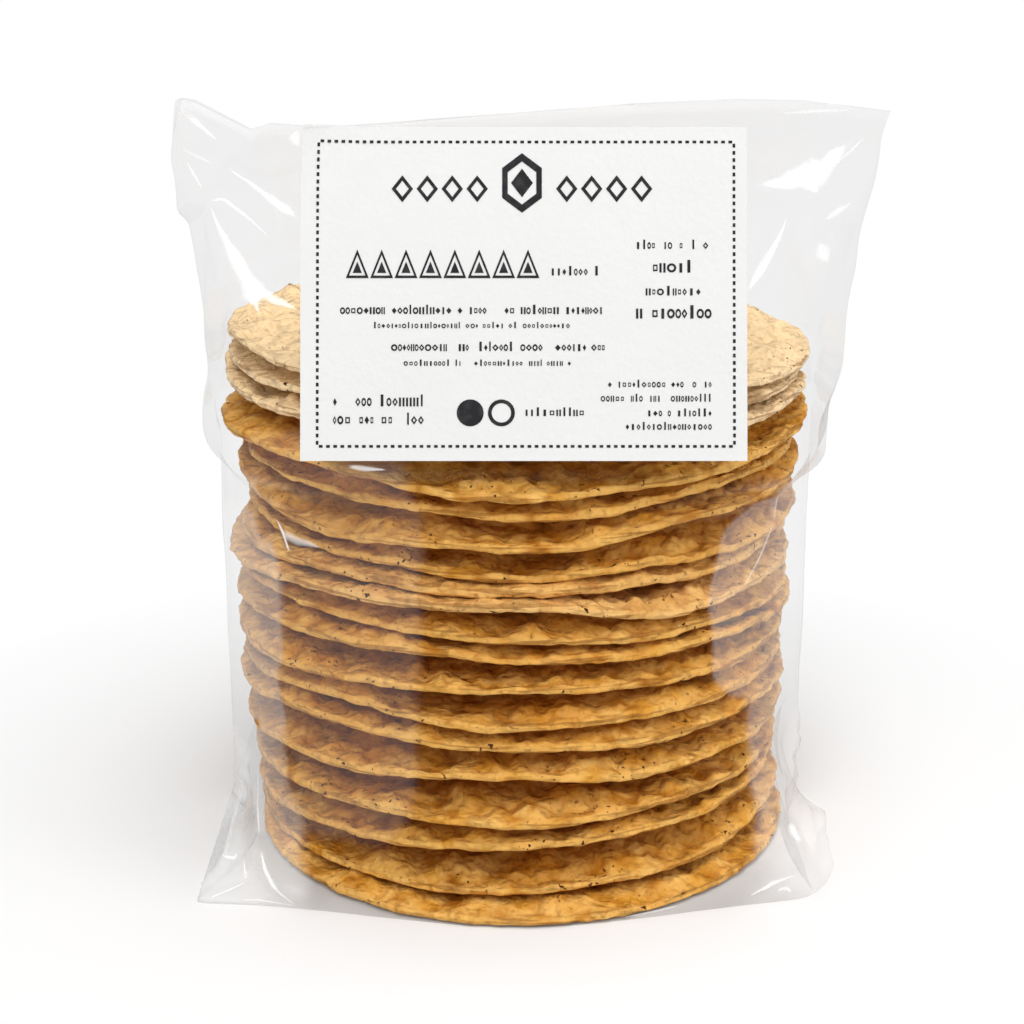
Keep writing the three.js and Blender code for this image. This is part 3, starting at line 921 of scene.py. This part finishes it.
def veil_mask(points, behind):
    """How hazy the film is: 1 would be white. Each veil is a band with a width at each end."""
    x, z = points[:, :, 0], points[:, :, 2]
    hazy = np.zeros_like(x)
    cells = points.reshape(-1, 3) / VEIL_WAVE["cell"]
    wave = np.array([noise.noise(Vector(cell)) for cell in cells]).reshape(x.shape)
    for veil in VEILS:
        (x0, z0), (x1, z1) = veil["from"], veil["to"]
        share = ((x - x0) * (x1 - x0) + (z - z0) * (z1 - z0)) / ((x1 - x0) ** 2 + (z1 - z0) ** 2)
        share = np.clip(share, 0, 1)
        off = np.hypot(x - mix(x0, x1, share), z - mix(z0, z1, share))
        inside = mix(*veil["widths"], share) - off + VEIL_WAVE["high"] * wave
        hazy = np.maximum(hazy, veil["white"] * smooth(inside, 0, veil["soft"]))
    band_foot = seam_height(x) - SEAM_BAND["deep"]
    band = SEAM_BAND["white"] * smooth(z, band_foot, band_foot + SEAM_BAND["fade"])
    return np.where(behind, 0, np.maximum(hazy, band))


film_sheet = film_mesh(film_place, veil_mask(film_place, film_behind))
print("film:", len(film_sheet.polygons), "faces")

# %% [markdown]
# ## Clear film
# Film is nearly invisible face on: it greys what is behind it a little, mirrors the lamps
# at a glance, and is hazy where two layers lie together; that white haze is partly a
# painted reflection of the bright room. A see-through Principled shader carries the haze,
# and a glossy layer over it carries the mirror at a glance. Its shadow is kept faint,
# because real film this thin hardly shades what it holds. Haze also passes on light of the
# white room from behind, which a thin sheet without depth can only glow.

# %% Film finish
FILM_TINT = (0.935, 0.935, 0.936, 1)
FILM_WHITE = (0.90, 0.90, 0.90, 1)
FILM_SHADOW = 0.25
HAZE_GLOW = 0.17
FILM_ROUGHNESS = {"haze": 0.3, "crease": 0.4, "mirror": 0.08}
GLANCE = {"least": 0.002, "most": 0.35, "power": 5.0}


def haze_over(tree, name, clear, faint, roughness):
    """White where the attribute of this name is high, and see-through where it is 0."""
    amount = compute(tree, "MULTIPLY", attribute(tree, name), faint)
    white = add_node(tree, "ShaderNodeBsdfPrincipled", {
        "Base Color": FILM_WHITE, "Roughness": roughness, "Emission Color": (1, 1, 1, 1),
        "Emission Strength": HAZE_GLOW})
    return add_node(tree, "ShaderNodeMixShader", {
        0: amount, 1: clear.outputs["BSDF"], 2: white.outputs["BSDF"]}).outputs["Shader"]


def faint_in_shadow(tree):
    """A share that is 1 for sight, and small for rays that only ask about shadow."""
    shadow = add_node(tree, "ShaderNodeLightPath").outputs["Is Shadow Ray"]
    return shadow, between(tree, shadow, 0.0, 1.0, 1.0, FILM_SHADOW)


def film_material():
    """A see-through film whose haze follows the attribute veil."""
    material, tree = new_material("clear_film")
    shadow, faint = faint_in_shadow(tree)
    clear = add_node(tree, "ShaderNodeBsdfTransparent", {"Color": blend_colors(tree, shadow, FILM_TINT, (1, 1, 1, 1))})
    body = haze_over(tree, "veil", clear, faint, FILM_ROUGHNESS["haze"])
    mirror = add_node(tree, "ShaderNodeBsdfGlossy", {"Roughness": FILM_ROUGHNESS["mirror"]})
    facing = add_node(tree, "ShaderNodeLayerWeight").outputs["Facing"]
    glance = between(tree, compute(tree, "POWER", facing, GLANCE["power"]), 0.0, 1.0, GLANCE["least"], GLANCE["most"])
    glance = compute(tree, "MULTIPLY", glance, faint)
    glossy = add_node(tree, "ShaderNodeMixShader", {0: glance, 1: body, 2: mirror.outputs["BSDF"]})
    to_surface(tree, glossy.outputs["Shader"])
    return material


film_sheet.materials.append(film_material())
film = add_piece("film", film_sheet, "bag")
print("film finished")

# %% [markdown]
# ## White creases and painted highlights
# Where film is sharply folded it turns white, and the lamps draw long bright facets. Both
# are painted: each is a tapered ribbon of white, faintly glowing colour laid on the film, a
# painted highlight in place of a lamp's reflection, found by casting rays at it from the
# front. Its edges fade out by an attribute, so no hard outline shows.

# %% White crease and painted highlight finish
def painted_highlight_material():
    """Painted highlight and crease white on what lies behind, and nothing at all where the attribute is 0."""
    material, tree = new_material("crease_and_painted_highlight")
    _, faint = faint_in_shadow(tree)
    clear = add_node(tree, "ShaderNodeBsdfTransparent")
    to_surface(tree, haze_over(tree, "white", clear, faint, FILM_ROUGHNESS["crease"]))
    return material


crease_and_painted_highlight = painted_highlight_material()
print("white crease has", len(crease_and_painted_highlight.node_tree.nodes), "nodes")

# %% Lay the creases and painted highlights on the film
# Each gleam is a painted highlight along a crease: white colour standing in for a lamp's reflection.
GLEAMS = [
    {"path": [(-59.8, 147.0, 0.2), (-59.1, 146.2, 0.9), (-58.0, 145.2, 0.8), (-55.6, 143.1, 0.35),
              (-52.7, 140.8, 0.05)], "white": 0.55},
    {"path": [(-59.4, 139.4, 0.05), (-56.5, 138.2, 0.4), (-53.6, 136.9, 0.05)], "white": 0.22},
    {"path": [(-58.4, 137.4, 0.05), (-57.2, 135.0, 0.34), (-55.6, 132.5, 0.05)], "white": 0.50},
    {"path": [(-50.8, 136.6, 0.05), (-46.2, 134.0, 0.35), (-42.6, 131.6, 0.7), (-40.2, 129.9, 0.75),
              (-38.2, 128.4, 0.05)], "white": 0.55},
    {"path": [(-54.1, 130.6, 0.1), (-51.5, 131.2, 0.3), (-47.1, 128.4, 0.25), (-42.8, 125.3, 0.05)], "white": 0.48},
    {"path": [(-54.1, 129.9, 0.05), (-50.5, 124.6, 0.75), (-47.4, 120.2, 1.5), (-45.4, 117.0, 2.0),
              (-44.2, 115.2, 1.0), (-43.6, 114.6, 0.1)], "white": 0.62},
    {"path": [(-46.4, 118.6, 0.4), (-45.4, 116.0, 0.9), (-44.3, 113.4, 0.05)], "white": 0.56},
    {"path": [(-45.4, 118.4, 0.5), (-42.0, 115.9, 0.9), (-38.0, 113.8, 0.05)], "white": 0.56},
    {"path": [(-41.0, 143.9, 0.05), (-40.0, 142.8, 1.1), (-38.9, 141.4, 1.0), (-38.0, 140.0, 0.1)], "white": 0.32},
    {"path": [(41.0, 134.0, 0.05), (44.8, 134.4, 1.2), (47.5, 135.2, 1.8), (50.4, 135.5, 2.6), (52.4, 136.6, 1.9),
              (53.8, 138.2, 1.3), (56.2, 140.5, 0.1)], "white": 0.58},
    {"path": [(49.4, 134.4, 1.2), (50.6, 133.2, 0.8), (51.4, 132.3, 0.05)], "white": 0.58},
    {"path": [(54.3, 137.1, 0.1), (57.0, 139.4, 0.25), (59.6, 141.5, 0.05)], "white": 0.34},
    {"path": [(45.6, 129.1, 0.05), (42.8, 124.0, 0.45), (40.6, 120.0, 0.75), (38.7, 116.8, 0.1)], "white": 0.50},
    {"path": [(52.4, 127.8, 0.1), (55.0, 128.9, 0.6), (58.0, 130.2, 0.1)], "white": 0.20},
    {"path": [(51.2, 124.6, 0.3), (52.0, 122.8, 1.6), (52.8, 121.0, 0.3)], "white": 0.22},
    {"path": [(44.0, 145.7, 0.05), (50.0, 146.1, 0.35), (56.9, 146.4, 0.05)], "white": 0.36},
    {"path": [(-44.8, 72.2, 0.1), (-43.4, 70.4, 0.3), (-42.0, 67.4, 0.2)], "white": 0.69},
    {"path": [(-43.4, 70.2, 0.7), (-40.6, 69.6, 0.9), (-38.2, 69.8, 0.6), (-35.8, 69.6, 0.05)], "white": 0.40},
    {"path": [(-29.4, 88.4, 0.3), (-26.6, 88.0, 0.5), (-22.8, 87.8, 0.05)], "white": 0.48},
    {"path": [(48.0, 86.0, 0.05), (47.8, 77.0, 0.25), (47.3, 69.1, 0.2)], "white": 0.29},
    {"path": [(47.3, 69.4, 0.2), (44.6, 64.8, 0.3), (40.8, 59.4, 0.05)], "white": 0.40},
    {"path": [(-58.3, 8.5, 0.05), (-57.1, 7.3, 0.25), (-53.9, 7.5, 0.3), (-53.4, 8.8, 0.05)], "white": 0.50},
    {"path": [(-52.2, 8.0, 0.1), (-51.7, 6.2, 0.35), (-51.3, 4.6, 0.05)], "white": 0.50},
    {"path": [(-51.3, 4.6, 0.05), (-54.7, 2.9, 0.3), (-58.7, 0.9, 0.1)], "white": 0.60},
    {"path": [(-48.9, 9.8, 0.05), (-47.9, 6.6, 0.5), (-46.4, 4.4, 0.5), (-44.4, 3.0, 0.3), (-41.8, 0.8, 0.1)],
     "white": 0.62},
    {"path": [(-53.2, 1.0, 0.1), (-49.0, 1.3, 0.25), (-41.3, 0.6, 0.1)], "white": 0.50},
    {"path": [(-51.1, 20.0, 0.05), (-50.0, 16.0, 0.3), (-49.0, 12.4, 0.05)], "white": 0.38},
    {"path": [(50.4, 16.4, 0.2), (51.0, 14.6, 1.0), (52.4, 12.8, 0.3)], "white": 0.55},
    {"path": [(42.8, 3.2, 0.05), (47.0, 4.9, 0.4), (51.6, 6.1, 0.1)], "white": 0.62},
    {"path": [(48.0, 3.0, 0.2), (50.0, 3.6, 0.6), (51.4, 2.2, 0.1)], "white": 0.50},
    {"path": [(18.0, 1.2, 0.05), (24.0, 1.7, 0.3), (30.0, 2.4, 0.05)], "white": 0.44},
]
RIBBON_STEP = 0.7
RIBBON_ACROSS = (-1.15, -0.8, -0.4, 0.0, 0.4, 0.8, 1.15)
RIBBON_FADE = (0.0, 0.5, 0.9, 1.0, 0.9, 0.5, 0.0)
RIBBON_LIFT = 0.06
RIBBON_ENDS = (0.10, 0.12)
RIBBON_WAVER = {"share": 0.3, "per_mm": 0.6}
RIBBON_LEAST_ROWS = 5
FACING_FRONT = -0.15
FILM_SCAN_FROM = -0.2


def film_tree():
    corners = [v.co.copy() for v in film_sheet.vertices]
    return BVHTree.FromPolygons(corners, [tuple(face.vertices) for face in film_sheet.polygons])


def on_film(surface, x, z, lift):
    """The point of the film's front at x and z, lifted off it a little."""
    hit, normal, _, _ = surface.ray_cast(Vector((x * MM, FILM_SCAN_FROM, z * MM)), Vector((0, 1, 0)))
    if hit is None:
        return None
    return hit - Vector((0, lift * MM, 0)) if normal.y > FACING_FRONT else hit + normal * lift * MM


def ribbon_rows(surface, line):
    """Rows of points across a ribbon that follows a path of places and half widths."""
    stops = np.array(line["path"])
    lengths = np.concatenate([[0], np.cumsum(np.hypot(*np.diff(stops[:, :2], axis=0).T))])
    spots = np.linspace(0, lengths[-1], max(RIBBON_LEAST_ROWS, round(lengths[-1] / RIBBON_STEP)))
    x, z, width = (np.interp(spots, lengths, stops[:, k]) for k in range(3))
    way = np.stack([np.gradient(x), np.gradient(z)])
    way /= np.hypot(*way)
    long = lengths[-1]
    fade = smooth(spots, 0, RIBBON_ENDS[0] * long) * (1 - smooth(spots, (1 - RIBBON_ENDS[1]) * long, long))
    rows = []
    for i in range(len(spots)):
        waver = noise.noise(Vector((x[i], z[i], 0)) * RIBBON_WAVER["per_mm"])
        wide = width[i] * (1 + RIBBON_WAVER["share"] * waver)
        row = [(on_film(surface, x[i] - way[1][i] * across * wide, z[i] + way[0][i] * across * wide, RIBBON_LIFT),
                line["white"] * fade[i] * edge) for across, edge in zip(RIBBON_ACROSS, RIBBON_FADE)]
        if all(point for point, _ in row):
            rows.append(row)
    return rows


def painted_highlight_mesh(surface):
    corners, faces, white = [], [], []
    wide = len(RIBBON_ACROSS)
    for line in GLEAMS:
        rows = ribbon_rows(surface, line)
        start = len(corners)
        corners += [point for row in rows for point, _ in row]
        white += [value for row in rows for _, value in row]
        for row in range(len(rows) - 1):
            for i in range(wide - 1):
                a = start + row * wide + i
                faces.append((a, a + wide, a + wide + 1, a + 1))
    mesh = bpy.data.meshes.new("film_painted_highlights")
    mesh.from_pydata(corners, [], faces)
    point_attribute(mesh, "white", white)
    mesh.shade_smooth()
    return mesh


film_surface = film_tree()
# The ribbons are painted highlights, with some crease whitening.
creases = painted_highlight_mesh(film_surface)
creases.materials.append(crease_and_painted_highlight)
add_piece("film_painted_highlights", creases, "bag")
print("creases:", len(creases.polygons), "faces")

# %% [markdown]
# ## The label
# The label keeps its CAD sheet and gets paper: off-white, faintly mottled by its fibres,
# and a little uneven under raking light.

# %% Label paper
PAPER = {"light": (0.66, 0.66, 0.65, 1), "dark": (0.64, 0.64, 0.63, 1)}


def paper_material():
    material, tree = new_material("label_paper")
    place = object_place(tree)
    clouds = mottle(tree, place, 60.0, 0.3, 0.7, 4.0)
    fibre = mottle(tree, place, 900.0, 0.2, 0.8, 5.0)
    color = blend_colors(tree, share_of(tree, clouds, 0.6), PAPER["light"], PAPER["dark"])
    height = compute(tree, "ADD", share_of(tree, clouds, 2.0), fibre)
    bump = add_node(tree, "ShaderNodeBump", {"Height": height, "Strength": 0.2, "Distance": 0.0003})
    shader = add_node(tree, "ShaderNodeBsdfPrincipled", {
        "Base Color": color, "Roughness": 0.55, "Specular IOR Level": 0.2, "Normal": bump.outputs["Normal"]})
    to_surface(tree, shader.outputs["BSDF"])
    return material


label = bpy.data.objects["label"]
label.data.materials.clear()
label.data.materials.append(paper_material())
print("label has", len(label.data.polygons), "faces")

# %% [markdown]
# ## Print on the label
# The print is generic: a dotted border, a header of plain lozenges, a band of outlined
# triangles, and rows of small rings, bars and lozenges where small type would be. One
# Geometry Nodes tree sets marks out in rows with random kinds, widths and blanks. Each
# block is laid flat, then bent onto the label by the same formula that shapes it.

# %% Rows of marks
def rows_tree():
    tree = bpy.data.node_groups.new("print_rows", "GeometryNodeTree")
    ids = {"Mark": tree_input(tree, "Mark", "NodeSocketGeometry", None)}
    for name, kind, value in (
        ("Marks", "NodeSocketInt", 10), ("Rows", "NodeSocketInt", 1), ("Width", "NodeSocketFloat", 10.0),
        ("Height", "NodeSocketFloat", 1.2), ("Row Pitch", "NodeSocketFloat", 2.4), ("Gap", "NodeSocketFloat", 0.3),
        ("Unevenness", "NodeSocketFloat", 0.0), ("Blanks", "NodeSocketFloat", 0.0), ("Seed", "NodeSocketInt", 1),
        ("Finish", "NodeSocketMaterial", None),
    ):
        ids[name] = tree_input(tree, name, kind, value)
    tree.interface.new_socket(name="Mesh", in_out="OUTPUT", socket_type="NodeSocketGeometry")
    inside = tree.nodes.new("NodeGroupInput").outputs
    index = add_node(tree, "GeometryNodeInputIndex").outputs["Index"]
    count = compute(tree, "MULTIPLY", inside["Marks"], inside["Rows"])
    points = add_node(tree, "GeometryNodeMeshLine", {"Count": count, "Offset": (0.0, 0.0, 0.0)})
    row = compute(tree, "FLOOR", compute(tree, "DIVIDE", compute(tree, "ADD", index, 0.5), inside["Marks"]), 0.0)
    least = compute(tree, "SUBTRACT", 1.0, inside["Unevenness"])
    most = compute(tree, "ADD", 1.0, inside["Unevenness"])
    draw = add_node(tree, "FunctionNodeRandomValue", {2: least, 3: most, "Seed": inside["Seed"]}, data_type="FLOAT")
    wide = draw.outputs[1]
    summed = add_node(tree, "GeometryNodeAccumulateField", {"Value": wide, "Group ID": row}, data_type="FLOAT")
    middle = compute(tree, "ADD", summed.outputs["Trailing"], compute(tree, "MULTIPLY", wide, 0.5))
    across = compute(tree, "SUBTRACT", compute(tree, "DIVIDE", middle, summed.outputs["Total"]), 0.5)
    rows_up = compute(tree, "SUBTRACT", compute(tree, "MULTIPLY", compute(
        tree, "SUBTRACT", inside["Rows"], 1.0), 0.5), row)
    spot = add_node(tree, "ShaderNodeCombineXYZ", {"X": compute(tree, "MULTIPLY", across, inside["Width"]),
                                                   "Y": compute(tree, "MULTIPLY", rows_up, inside["Row Pitch"])})
    share = compute(tree, "DIVIDE", wide, summed.outputs["Total"])
    mark_width = compute(tree, "MULTIPLY", compute(tree, "MULTIPLY", share, inside["Width"]),
                         compute(tree, "SUBTRACT", 1.0, inside["Gap"]))
    size = add_node(tree, "ShaderNodeCombineXYZ", {"X": mark_width, "Y": inside["Height"], "Z": 1.0})
    lottery = add_node(tree, "FunctionNodeRandomValue", {2: 0.0, 3: 1.0, "Seed": compute(
        tree, "ADD", inside["Seed"], 100.0)}, data_type="FLOAT").outputs[1]
    shown = compute(tree, "GREATER_THAN", lottery, inside["Blanks"])
    placed = add_node(tree, "GeometryNodeSetPosition", {"Geometry": points.outputs["Mesh"],
                                                        "Position": spot.outputs["Vector"]})
    kind = add_node(tree, "GeometryNodeInputNamedAttribute", {"Name": "kind"}, data_type="INT")
    kinds = add_node(tree, "GeometryNodeSplitToInstances", {
        "Geometry": inside["Mark"], "Group ID": kind.outputs["Attribute"]}, domain="FACE")
    picked = add_node(tree, "FunctionNodeRandomValue", {4: 0, 5: 99, "Seed": compute(
        tree, "ADD", inside["Seed"], 200.0)}, data_type="INT").outputs[2]
    marks = add_node(tree, "GeometryNodeInstanceOnPoints", {
        "Points": placed.outputs["Geometry"], "Selection": shown, "Instance": kinds.outputs["Instances"],
        "Pick Instance": True, "Instance Index": picked, "Scale": size.outputs["Vector"]})
    real = add_node(tree, "GeometryNodeRealizeInstances", {"Geometry": marks.outputs["Instances"]})
    done = add_node(tree, "GeometryNodeSetMaterial",
                    {"Geometry": real.outputs["Geometry"], "Material": inside["Finish"]})
    tree.links.new(done.outputs["Geometry"], tree.nodes.new("NodeGroupOutput").inputs[0])
    return tree, ids


print_rows, print_ids = rows_tree()
print("print tree has", len(print_rows.nodes), "nodes")

# %% Marks and blocks of print
def outline(sides, turn=0.0, size=0.5):
    return [(size * math.cos(turn + 2 * math.pi * i / sides), size * math.sin(turn + 2 * math.pi * i / sides), 0)
            for i in range(sides)]


def filled(corners):
    return corners, [tuple(range(len(corners)))]


def ring(sides, inner, turn=0.0):
    """A shape with a hole: quads between an outer and an inner outline."""
    faces = [(i, (i + 1) % sides, sides + (i + 1) % sides, sides + i) for i in range(sides)]
    return outline(sides, turn) + outline(sides, turn, inner), faces


def slab(left, low, right, high):
    return filled([(left, low, 0), (right, low, 0), (right, high, 0), (left, high, 0)])


def joined(*shapes):
    corners, faces = [], []
    for shape_corners, shape_faces in shapes:
        faces += [tuple(len(corners) + i for i in face) for face in shape_faces]
        corners += shape_corners
    return corners, faces


TRIANGLE = [(-0.5, -0.5, 0), (0.5, -0.5, 0), (0.0, 0.5, 0)]
QUARTER_TURN = math.pi / 2
MARKS = {
    "bar": [slab(-0.5, -0.5, 0.5, 0.5)],
    "lozenge": [ring(4, 0.30)],
    "hexagon": [joined(ring(6, 0.36, QUARTER_TURN), (outline(4, size=0.24), [(0, 1, 2, 3)]))],
    "disc": [filled(outline(24))],
    "circle": [ring(24, 0.36)],
    "triangle": [joined((TRIANGLE + [(0.72 * x, 0.72 * y - 0.05, 0) for x, y, _ in TRIANGLE],
                         [(0, 1, 4, 3), (1, 2, 5, 4), (2, 0, 3, 5)]),
                        filled([(0.40 * x, 0.40 * y - 0.12, 0) for x, y, _ in TRIANGLE]))],
    "mixed": [ring(10, 0.26), slab(-0.2, -0.5, 0.2, 0.5), ring(4, 0.22), slab(-0.2, -0.5, 0.2, 0.85),
              ring(10, 0.24), filled(outline(4, size=0.45)), ring(4, 0.26, QUARTER_TURN / 2),
              joined(slab(-0.45, -0.5, -0.12, 0.5), slab(0.12, -0.5, 0.45, 0.5))],
}
BLOCKS = table(("mark", "at", "Marks", "Rows", "Width", "Row Pitch", "Height", "Gap", "Blanks", "turned"), [
    ("bar", (0.35, 28.45), 58, 2, 70.9, 51.9, 0.46, 0.48, 0.0, False),
    ("bar", (0.35, 28.45), 42, 2, 51.9, 70.9, 0.46, 0.48, 0.0, True),
    ("lozenge", (-14.3, 46.4), 4, 1, 17.0, 0.0, 4.6, 0.14, 0.0, False),
    ("hexagon", (-0.3, 47.4), 1, 1, 7.8, 0.0, 10.2, 0.0, 0.0, False),
    ("lozenge", (13.7, 46.4), 4, 1, 17.0, 0.0, 4.6, 0.14, 0.0, False),
    ("triangle", (-13.8, 33.6), 8, 1, 33.2, 0.0, 4.9, 0.06, 0.0, False),
    ("mixed", (8.7, 32.2), 9, 1, 8.6, 0.0, 1.2, 0.15, 0.1, False),
    ("mixed", (25.2, 36.7), 13, 1, 12.6, 0.0, 1.2, 0.15, 0.12, False),
    ("mixed", (25.3, 32.9), 5, 1, 7.0, 0.0, 1.6, 0.08, 0.15, False),
    ("mixed", (25.4, 28.8), 9, 1, 9.6, 0.0, 1.2, 0.15, 0.0, False),
    ("mixed", (25.5, 25.1), 10, 1, 13.0, 0.0, 1.7, 0.05, 0.12, False),
    ("mixed", (-8.9, 25.6), 50, 1, 44.8, 0.0, 1.2, 0.05, 0.14, False),
    ("mixed", (-8.9, 23.0), 46, 1, 33.7, 0.0, 0.8, 0.15, 0.14, False),
    ("mixed", (-5.8, 19.3), 44, 1, 39.3, 0.0, 1.2, 0.05, 0.14, False),
    ("mixed", (-5.9, 16.6), 40, 1, 29.2, 0.0, 0.8, 0.15, 0.14, False),
    ("mixed", (-24.7, 8.5), 15, 2, 15.6, 3.1, 1.5, 0.12, 0.12, False),
    ("disc", (-9.1, 8.2), 1, 1, 4.6, 0.0, 4.6, 0.0, 0.0, False),
    ("circle", (-3.8, 8.2), 1, 1, 4.6, 0.0, 4.6, 0.0, 0.0, False),
    ("mixed", (5.2, 8.2), 10, 1, 10.4, 0.0, 1.1, 0.12, 0.0, False),
    ("mixed", (23.1, 13.0), 22, 1, 17.8, 0.0, 1.0, 0.15, 0.12, False),
    ("mixed", (22.5, 10.6), 24, 1, 19.0, 0.0, 1.0, 0.15, 0.12, False),
    ("mixed", (26.4, 8.1), 13, 1, 11.2, 0.0, 1.0, 0.15, 0.12, False),
    ("mixed", (24.6, 5.8), 17, 1, 14.8, 0.0, 1.0, 0.15, 0.0, False),
])
PRINT_LIFT = 0.06
MIXED_UNEVEN = 0.3
INK = {"full": (0.020, 0.020, 0.022, 1), "worn": (0.040, 0.040, 0.040, 1)}


def ink_material():
    material, tree = new_material("ink")
    place = object_place(tree)
    color = blend_colors(tree, mottle(tree, place, 700.0, 0.45, 0.75), INK["full"], INK["worn"])
    shader = add_node(tree, "ShaderNodeBsdfPrincipled", {
        "Base Color": color, "Roughness": 0.6, "Specular IOR Level": 0.05})
    to_surface(tree, shader.outputs["BSDF"])
    return material


def on_label(across, up):
    """A flat place on the label, in mm from the middle of its lower edge, put on its front in metres."""
    x = LABEL["middle"] + across
    z = LABEL["bottom"] + up * math.cos(LEAN)
    y = front_at(x, z) - (LABEL_GAP + LABEL["thick"] + PRINT_LIFT) / math.cos(LEAN)
    return np.stack([x, y, z], axis=1) * MM


def print_mesh(ink):
    corners, faces = [], []
    for number, block in enumerate(BLOCKS):
        shapes = MARKS[block["mark"]]
        points, sides = joined(*shapes)
        mark = bpy.data.meshes.new("mark")
        mark.from_pydata(points, [], sides)
        kinds = mark.attributes.new("kind", "INT", "FACE")
        kinds.data.foreach_set("value", [kind for kind, shape in enumerate(shapes) for _ in shape[1]])
        values = {name: value for name, value in block.items() if name in print_ids}
        values |= {"Unevenness": MIXED_UNEVEN if block["mark"] == "mixed" else 0.0, "Seed": number}
        made = grown_mesh(mark, print_rows, print_ids, Finish=ink, **values)
        flat = np.array([v.co[:2] for v in made.vertices])
        if block["turned"]:
            flat = flat[:, ::-1] * (-1, 1)
        start = sum(len(c) for c in corners)
        corners.append(on_label(flat[:, 0] + block["at"][0], flat[:, 1] + block["at"][1]))
        faces += [tuple(start + v for v in face.vertices) for face in made.polygons]
    mesh = bpy.data.meshes.new("label_print")
    mesh.from_pydata(np.concatenate(corners).tolist(), [], faces)
    mesh.materials.append(ink)
    return mesh


label_print = print_mesh(ink_material())
add_piece("label_print", label_print, None)
print("print:", len(label_print.polygons), "marks and sides")

# %% [markdown]
# ## The floor
# The floor is plain pale studio paper. Near the bag it takes the soft shadow, and further
# off it turns into an even white glow, so that no horizon shows.

# %% Floor finish
FLOOR_WHITE = (0.75, 0.75, 0.75, 1)
FLOOR_GLOW = {"near": 0.06, "far": 1.0, "from": 0.065, "to": 0.16}


def floor_material():
    material, tree = new_material("studio_paper")
    away = add_node(tree, "ShaderNodeVectorMath", {0: object_place(tree)}, operation="LENGTH").outputs["Value"]
    far = between(tree, away, FLOOR_GLOW["from"], FLOOR_GLOW["to"])
    glow = between(tree, far, 0.0, 1.0, FLOOR_GLOW["near"], FLOOR_GLOW["far"])
    shader = add_node(tree, "ShaderNodeBsdfPrincipled", {
        "Base Color": blend_colors(tree, far, FLOOR_WHITE, (0, 0, 0, 1)), "Roughness": 0.8, "Specular IOR Level": 0.0,
        "Emission Color": (1, 1, 1, 1), "Emission Strength": glow})
    to_surface(tree, shader.outputs["BSDF"])
    return material


floor.data.materials.append(floor_material())
